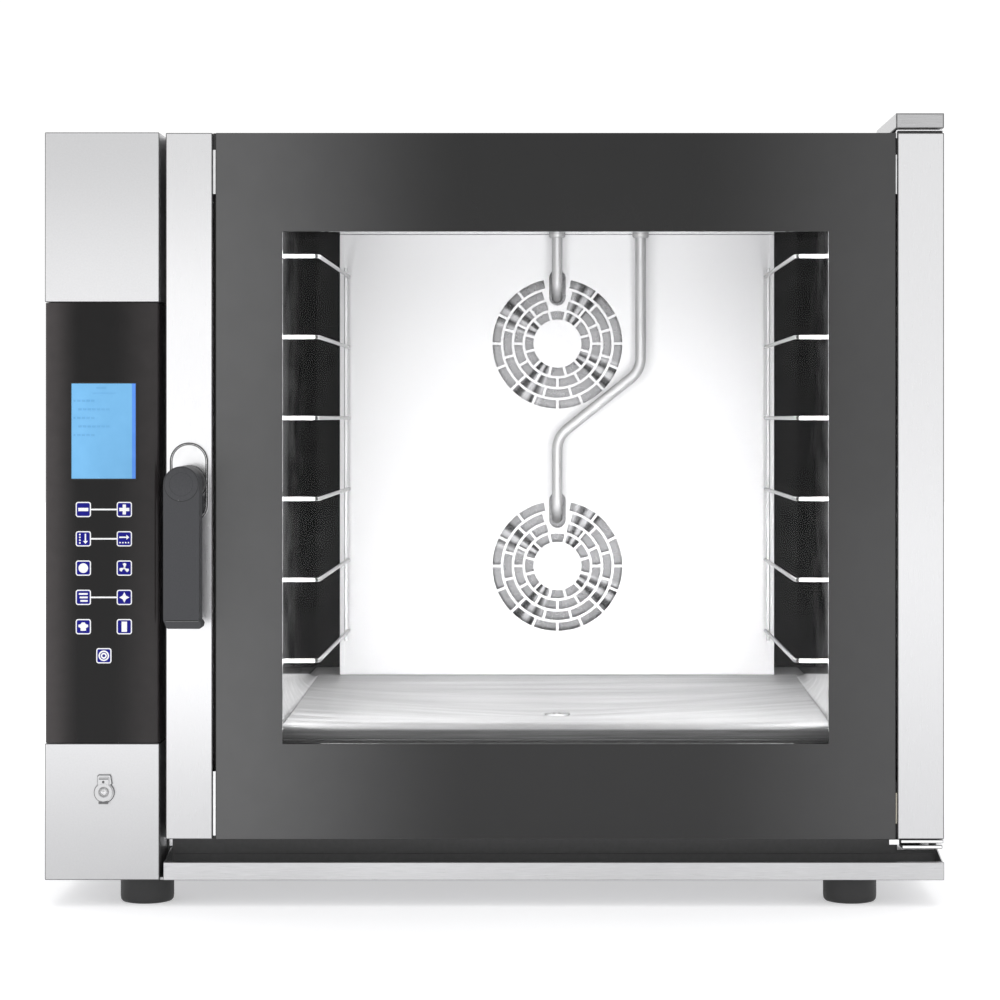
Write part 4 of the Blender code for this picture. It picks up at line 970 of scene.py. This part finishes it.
def make_steam_tubes():
    """Water lines over the cavity and down to the fans' centres."""
    top = CAVITY_TOP + 0.053
    end_y = BAFFLE_Y + 0.013
    x1, x2 = TUBE_TOPS
    upper = [(x1, VALVE_Y, 0.7424), (x1, VALVE_Y, top), (x1, TUBE_Y, top), (x1, TUBE_Y, 0.672),
             (x1, end_y, 0.656)]
    lower = [(x2, VALVE_Y, 0.7424), (x2, VALVE_Y, top), (x2, TUBE_Y, top),
             (x2, TUBE_Y, 0.5665), (x1, TUBE_Y, 0.4845), (x1, TUBE_Y, 0.399), (x1, end_y, 0.383)]
    piece("steam_line_upper", tube_mesh(rounded_path(upper, 0.010), TUBE_RADIUS, 24), "steel_tube", "body",
          0.0, ("steam_tube_upper",))
    bends = rounded_path(lower[:4], 0.010)[:-1]
    sweep = rounded_path(lower[2:6], 0.032, 12)[1:-1]
    tail = rounded_path(lower[4:], 0.010)[1:]
    piece("steam_line_lower", tube_mesh(bends + sweep + tail, TUBE_RADIUS, 24), "steel_tube", "body",
          0.0, ("steam_tube_lower",))
    bore = TUBE_RADIUS + 0.0002
    collar = [(bore, CAVITY_TOP - 0.0050), (0.0088, CAVITY_TOP - 0.0050), (0.0100, CAVITY_TOP - 0.0036),
              (0.0100, CAVITY_TOP - 0.0002), (bore, CAVITY_TOP - 0.0002), (bore, CAVITY_TOP - 0.0050)]
    collars = [turned(collar, (x, TUBE_Y), "Z", 32) for x in TUBE_TOPS]
    piece("steam_line_collars", merged(*collars), "steel_tube", "body")


def make_racks():
    """Two wire racks: six rails each, bent back at the front, welded to two upright wires."""
    upright_x = CAVITY_HALF - WIRE - 0.0003
    thin = 0.0021
    low = RACK_LOWEST - 0.012
    top = RACK_LOWEST + RACK_PITCH * (RACK_LEVELS - 1)
    for name, way in (("left", -1), ("right", 1)):
        front_x = CAVITY_X + way * upright_x
        rail_x = CAVITY_X + way * RACK_HALF
        rear_x = rail_x + way * WIRE * 1.2
        front_wire = [Vector((front_x, RACK_FRONT_Y, z)) for z in (low, top + 0.012)]
        rear_wire = [Vector((rear_x, RACK_REAR_Y, z)) for z in (low, top + 0.010)]
        wires = [tube_mesh(front_wire, WIRE), tube_mesh(rear_wire, thin)]
        bends = []
        for level in range(RACK_LEVELS):
            z = RACK_LOWEST + RACK_PITCH * level
            y = RACK_FRONT_Y + WIRE * 0.8
            ends = [(front_x, y, z), (rail_x, y, z), (rail_x, RACK_REAR_Y + 0.010, z)]
            path = rounded_path(ends, 0.008)
            wires.append(tube_mesh(path, thin))
            # a dark sleeve over each front bend: painted shade
            bends.append(tube_mesh(path[3:6], thin + 0.0001))
        rack = f"rack_{name}"
        piece(f"rack_wires_{name}", merged(*wires), "steel_wire", rack, 0.0, (rack,))
        piece(f"rack_bend_shades_{name}", merged(*bends), "steel_edge", rack)


# ---- lower front ----------------------------------------------------------------------------
def make_drip_tray():
    """The tray under the door; its end plates rise in a gentle S towards the body."""
    low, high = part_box("drip_tray")
    x0, x1 = low.x, high.x
    back = high.y
    top_z = 0.046
    bar_piece = box_mesh((x0, FACE_Y, low.z), (x1, FACE_Y + 0.0025, top_z))
    lip = box_mesh((x0 + 0.0002, FACE_Y + 0.0003, top_z - 0.0012),
                   (x1 - 0.0002, FACE_Y + 0.0060, top_z - 0.0002))
    steps = 20
    rise = high.z - top_z
    edge = [(FACE_Y + 0.002 + (back - FACE_Y - 0.002) * i / steps,
             top_z - 0.0003 + rise * (0.5 - 0.5 * math.cos(math.pi * i / steps))) for i in range(steps + 1)]
    side = [(edge[0][0], low.z + 0.0028)] + edge + [(back, low.z + 0.0028)]
    ends = [prism(side[::-1], [], "X", x0, x0 + 0.0015), prism(side[::-1], [], "X", x1 - 0.0015, x1)]
    pan = box_mesh((x0 + 0.001, FACE_Y + 0.002, low.z + 0.0028), (x1 - 0.001, back, low.z + 0.0043))
    rear = box_mesh((x0 + 0.001, back - 0.0015, low.z + 0.0028), (x1 - 0.001, back, top_z))
    piece("drip_tray_bar", merged(bar_piece, lip), "steel_tray", "drip_tray", 0.0010,
          ("drip_tray",), "steel_edge")
    piece("drip_tray_ends", merged(*ends), "steel_tray", "drip_tray", 0.0003)
    # the pan and rear wall in grey, darker than the tray's steel: painted shade inside the tray
    piece("drip_tray_pan", merged(pan, rear), "grey_frame", "drip_tray", 0.0003)
    stub = box_mesh((-0.3462, BODY_Y - 0.0050, 0.0540), (-0.3426, BODY_Y - 0.0026, 0.0640))
    piece("tray_catch", stub, "steel_bright", "body", 0.0004)


def make_feet():
    """Four rubber feet with a rounded lower edge."""
    for node in ("foot_front_left", "foot_front_right", "foot_rear_left", "foot_rear_right"):
        low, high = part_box(node)
        center = ((low.x + high.x) / 2, (low.y + high.y) / 2)
        r = FOOT_RADIUS
        profile = [(0.0, 0.0), (r - 0.0045, 0.0), (r - 0.0022, 0.0006), (r - 0.0006, 0.0024),
                   (r - 0.0002, 0.0045), (r, 0.0060), (r, FOOT_HEIGHT - 0.001), (r - 0.0008, FOOT_HEIGHT),
                   (0.0, FOOT_HEIGHT)]
        piece(f"{node}_rubber", turned(profile, center, "Z", 64), "rubber_black", "body", 0.0,
              (node,))


# ---- sides and back -------------------------------------------------------------------------
def screw(center, axis, face, way):
    """A pan-head screw standing 1.4 mm proud of a face."""
    out = face + way * 0.0014
    profile = [(0.0, out), (0.0020, out), (0.0034, face + way * 0.0008), (0.0038, face), (0.0, face)]
    return turned(profile, center, axis, 20)


def make_screws():
    """The screws around the rear cover."""
    centers = [(x, z) for x in (-0.45, -0.15, 0.15, 0.45) for z in (0.045, 0.785)]
    centers += [(x, z) for x in (-0.45, 0.45) for z in (0.29, 0.54)]
    rear = [screw(center, "Y", REAR_Y - 0.0001, 1) for center in centers]
    piece("rear_cover_screws", merged(*rear), "steel_machined", "body")


def make_rear_guard():
    """A wire finger guard over the electronics fan."""
    x, z = -0.385, 0.420
    half_wire = 0.0011
    rings = [prism(circle(x, z, r + half_wire), [circle(x, z, r - half_wire)], "Y", REAR_Y + 0.0020,
                   REAR_Y + 0.0040) for r in (0.016, 0.028, 0.040, 0.052)]
    spokes = []
    for k in range(4):
        angle = math.radians(45 + 90 * k)
        along = Vector((math.cos(angle), 0, math.sin(angle)))
        start = Vector((x, REAR_Y + 0.0018, z)) + along * 0.014
        spokes.append(tube_mesh([start, start + along * 0.042], 0.0012, 10))
        foot = start + along * 0.043
        stud = [(0.0, REAR_Y + 0.0060), (0.0030, REAR_Y + 0.0055), (0.0034, REAR_Y - 0.0001),
                (0.0, REAR_Y - 0.0001)]
        spokes.append(turned(stud, (foot.x, foot.z), "Y", 18))
    piece("fan_guard", merged(*rings, *spokes), "steel_bright", "body")


def make_inlet_thread():
    """The thread on the water inlet."""
    root, crest, pitch = 0.0125, 0.0136, 0.0022
    rings = [turned([(root, y), (crest, y + 0.0008), (root, y + 0.0016)], (0.1165, 0.7225), "Y", 32)
             for y in (0.4520 + pitch * k for k in range(5))]
    piece("inlet_thread", merged(*rings), "steel_machined", "body")


# ---- stage ----------------------------------------------------------------------------------
def make_floor_plane():
    bm = bmesh.new()
    bmesh.ops.create_grid(bm, x_segments=1, y_segments=1, size=14.0)
    mesh = bpy.data.meshes.new("studio_floor")
    bm.to_mesh(mesh)
    bm.free()
    made = bpy.data.objects.new("studio_floor", mesh)
    bpy.context.scene.collection.objects.link(made)
    pale = surface("studio_floor", grey(0.70), grey(0.72), (0.85, 0.9), specular=0.0, scale=2.0, glow=0.58)
    mesh.materials.append(pale)


def make_light(name, place, target, size, power, spread=180.0):
    """A lamp that lights the cavity and is itself neither seen nor mirrored."""
    data = bpy.data.lights.new(name, "AREA")
    data.shape = "RECTANGLE"
    data.size, data.size_y = size
    data.energy = power
    data.spread = math.radians(spread)
    made = bpy.data.objects.new(name, data)
    made.location = place
    made.rotation_euler = (Vector(target) - Vector(place)).to_track_quat("-Z", "Y").to_euler()
    made.visible_camera = False
    made.visible_glossy = False
    bpy.context.scene.collection.objects.link(made)


def make_studio():
    """A pale floor, an even pale sky, a soft sun from above and four lamps inside the cavity's mouth."""
    make_floor_plane()
    sky = bpy.data.worlds.new("studio")
    bpy.context.scene.world = sky
    sky.use_nodes = True
    nodes, links = sky.node_tree.nodes, sky.node_tree.links
    place = nodes.new("ShaderNodeTexCoord")
    split = nodes.new("ShaderNodeSeparateXYZ")
    ramp = nodes.new("ShaderNodeMapRange")
    ramp.interpolation_type = "SMOOTHSTEP"
    ramp.inputs["From Min"].default_value = -0.95
    ramp.inputs["From Max"].default_value = -0.3
    ramp.inputs["To Min"].default_value = 0.92
    ramp.inputs["To Max"].default_value = 1.08
    links.new(place.outputs["Generated"], split.inputs[0])
    links.new(split.outputs["Y"], ramp.inputs["Value"])
    links.new(ramp.outputs["Result"], nodes["Background"].inputs["Strength"])
    nodes["Background"].inputs["Color"].default_value = (1.0, 1.0, 1.0, 1.0)
    sun = bpy.data.lights.new("overhead", "SUN")
    sun.energy = 0.7
    sun.angle = math.radians(50)
    lamp = bpy.data.objects.new("overhead", sun)
    lamp.rotation_euler = (math.radians(-14), 0.0, 0.0)
    bpy.context.scene.collection.objects.link(lamp)
    middle = (CAVITY_X, BAFFLE_Y, 0.46)
    for name, way in (("left", -1), ("right", 1)):
        place = (CAVITY_X + way * 0.285, -0.318, 0.46)
        make_light(f"cavity_lamp_{name}", place, middle, (0.02, 0.50), 2.5)
    make_light("cavity_lamp_top", (CAVITY_X, -0.315, 0.725), middle, (0.5, 0.02), 1.3)
    make_light("cavity_lamp_low", (CAVITY_X, -0.30, 0.225), (CAVITY_X, BAFFLE_Y, 0.30), (0.5, 0.02),
               1.3, 110.0)


def make_camera():
    data = bpy.data.cameras.new("camera")
    data.sensor_width = 36.0
    data.lens = 103.9
    data.shift_x = -0.057
    data.shift_y = -0.082
    made = bpy.data.objects.new("camera", data)
    made.location = (0.065, -3.400, 0.508)
    made.rotation_euler = (math.pi / 2, 0.0, 0.0)
    bpy.context.scene.collection.objects.link(made)
    bpy.context.scene.camera = made
    bpy.context.scene.view_settings.view_transform = "Standard"


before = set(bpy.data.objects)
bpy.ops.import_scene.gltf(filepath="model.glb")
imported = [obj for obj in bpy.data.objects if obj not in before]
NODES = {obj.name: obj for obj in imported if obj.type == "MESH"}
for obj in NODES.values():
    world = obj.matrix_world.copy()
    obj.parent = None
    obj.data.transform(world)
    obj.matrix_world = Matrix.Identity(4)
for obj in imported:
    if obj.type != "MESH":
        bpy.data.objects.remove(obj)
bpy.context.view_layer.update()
FINISH = make_finishes()
make_camera()
make_studio()
dress_nodes()
make_column()
make_keys()
make_screen()
make_probe_socket()
make_door()
make_hinges()
make_handle()
make_escutcheon()
make_baffle()
make_wheel_rings()
make_floor()
make_coves()
make_steam_tubes()
make_racks()
make_drip_tray()
make_feet()
make_screws()
make_rear_guard()
make_inlet_thread()
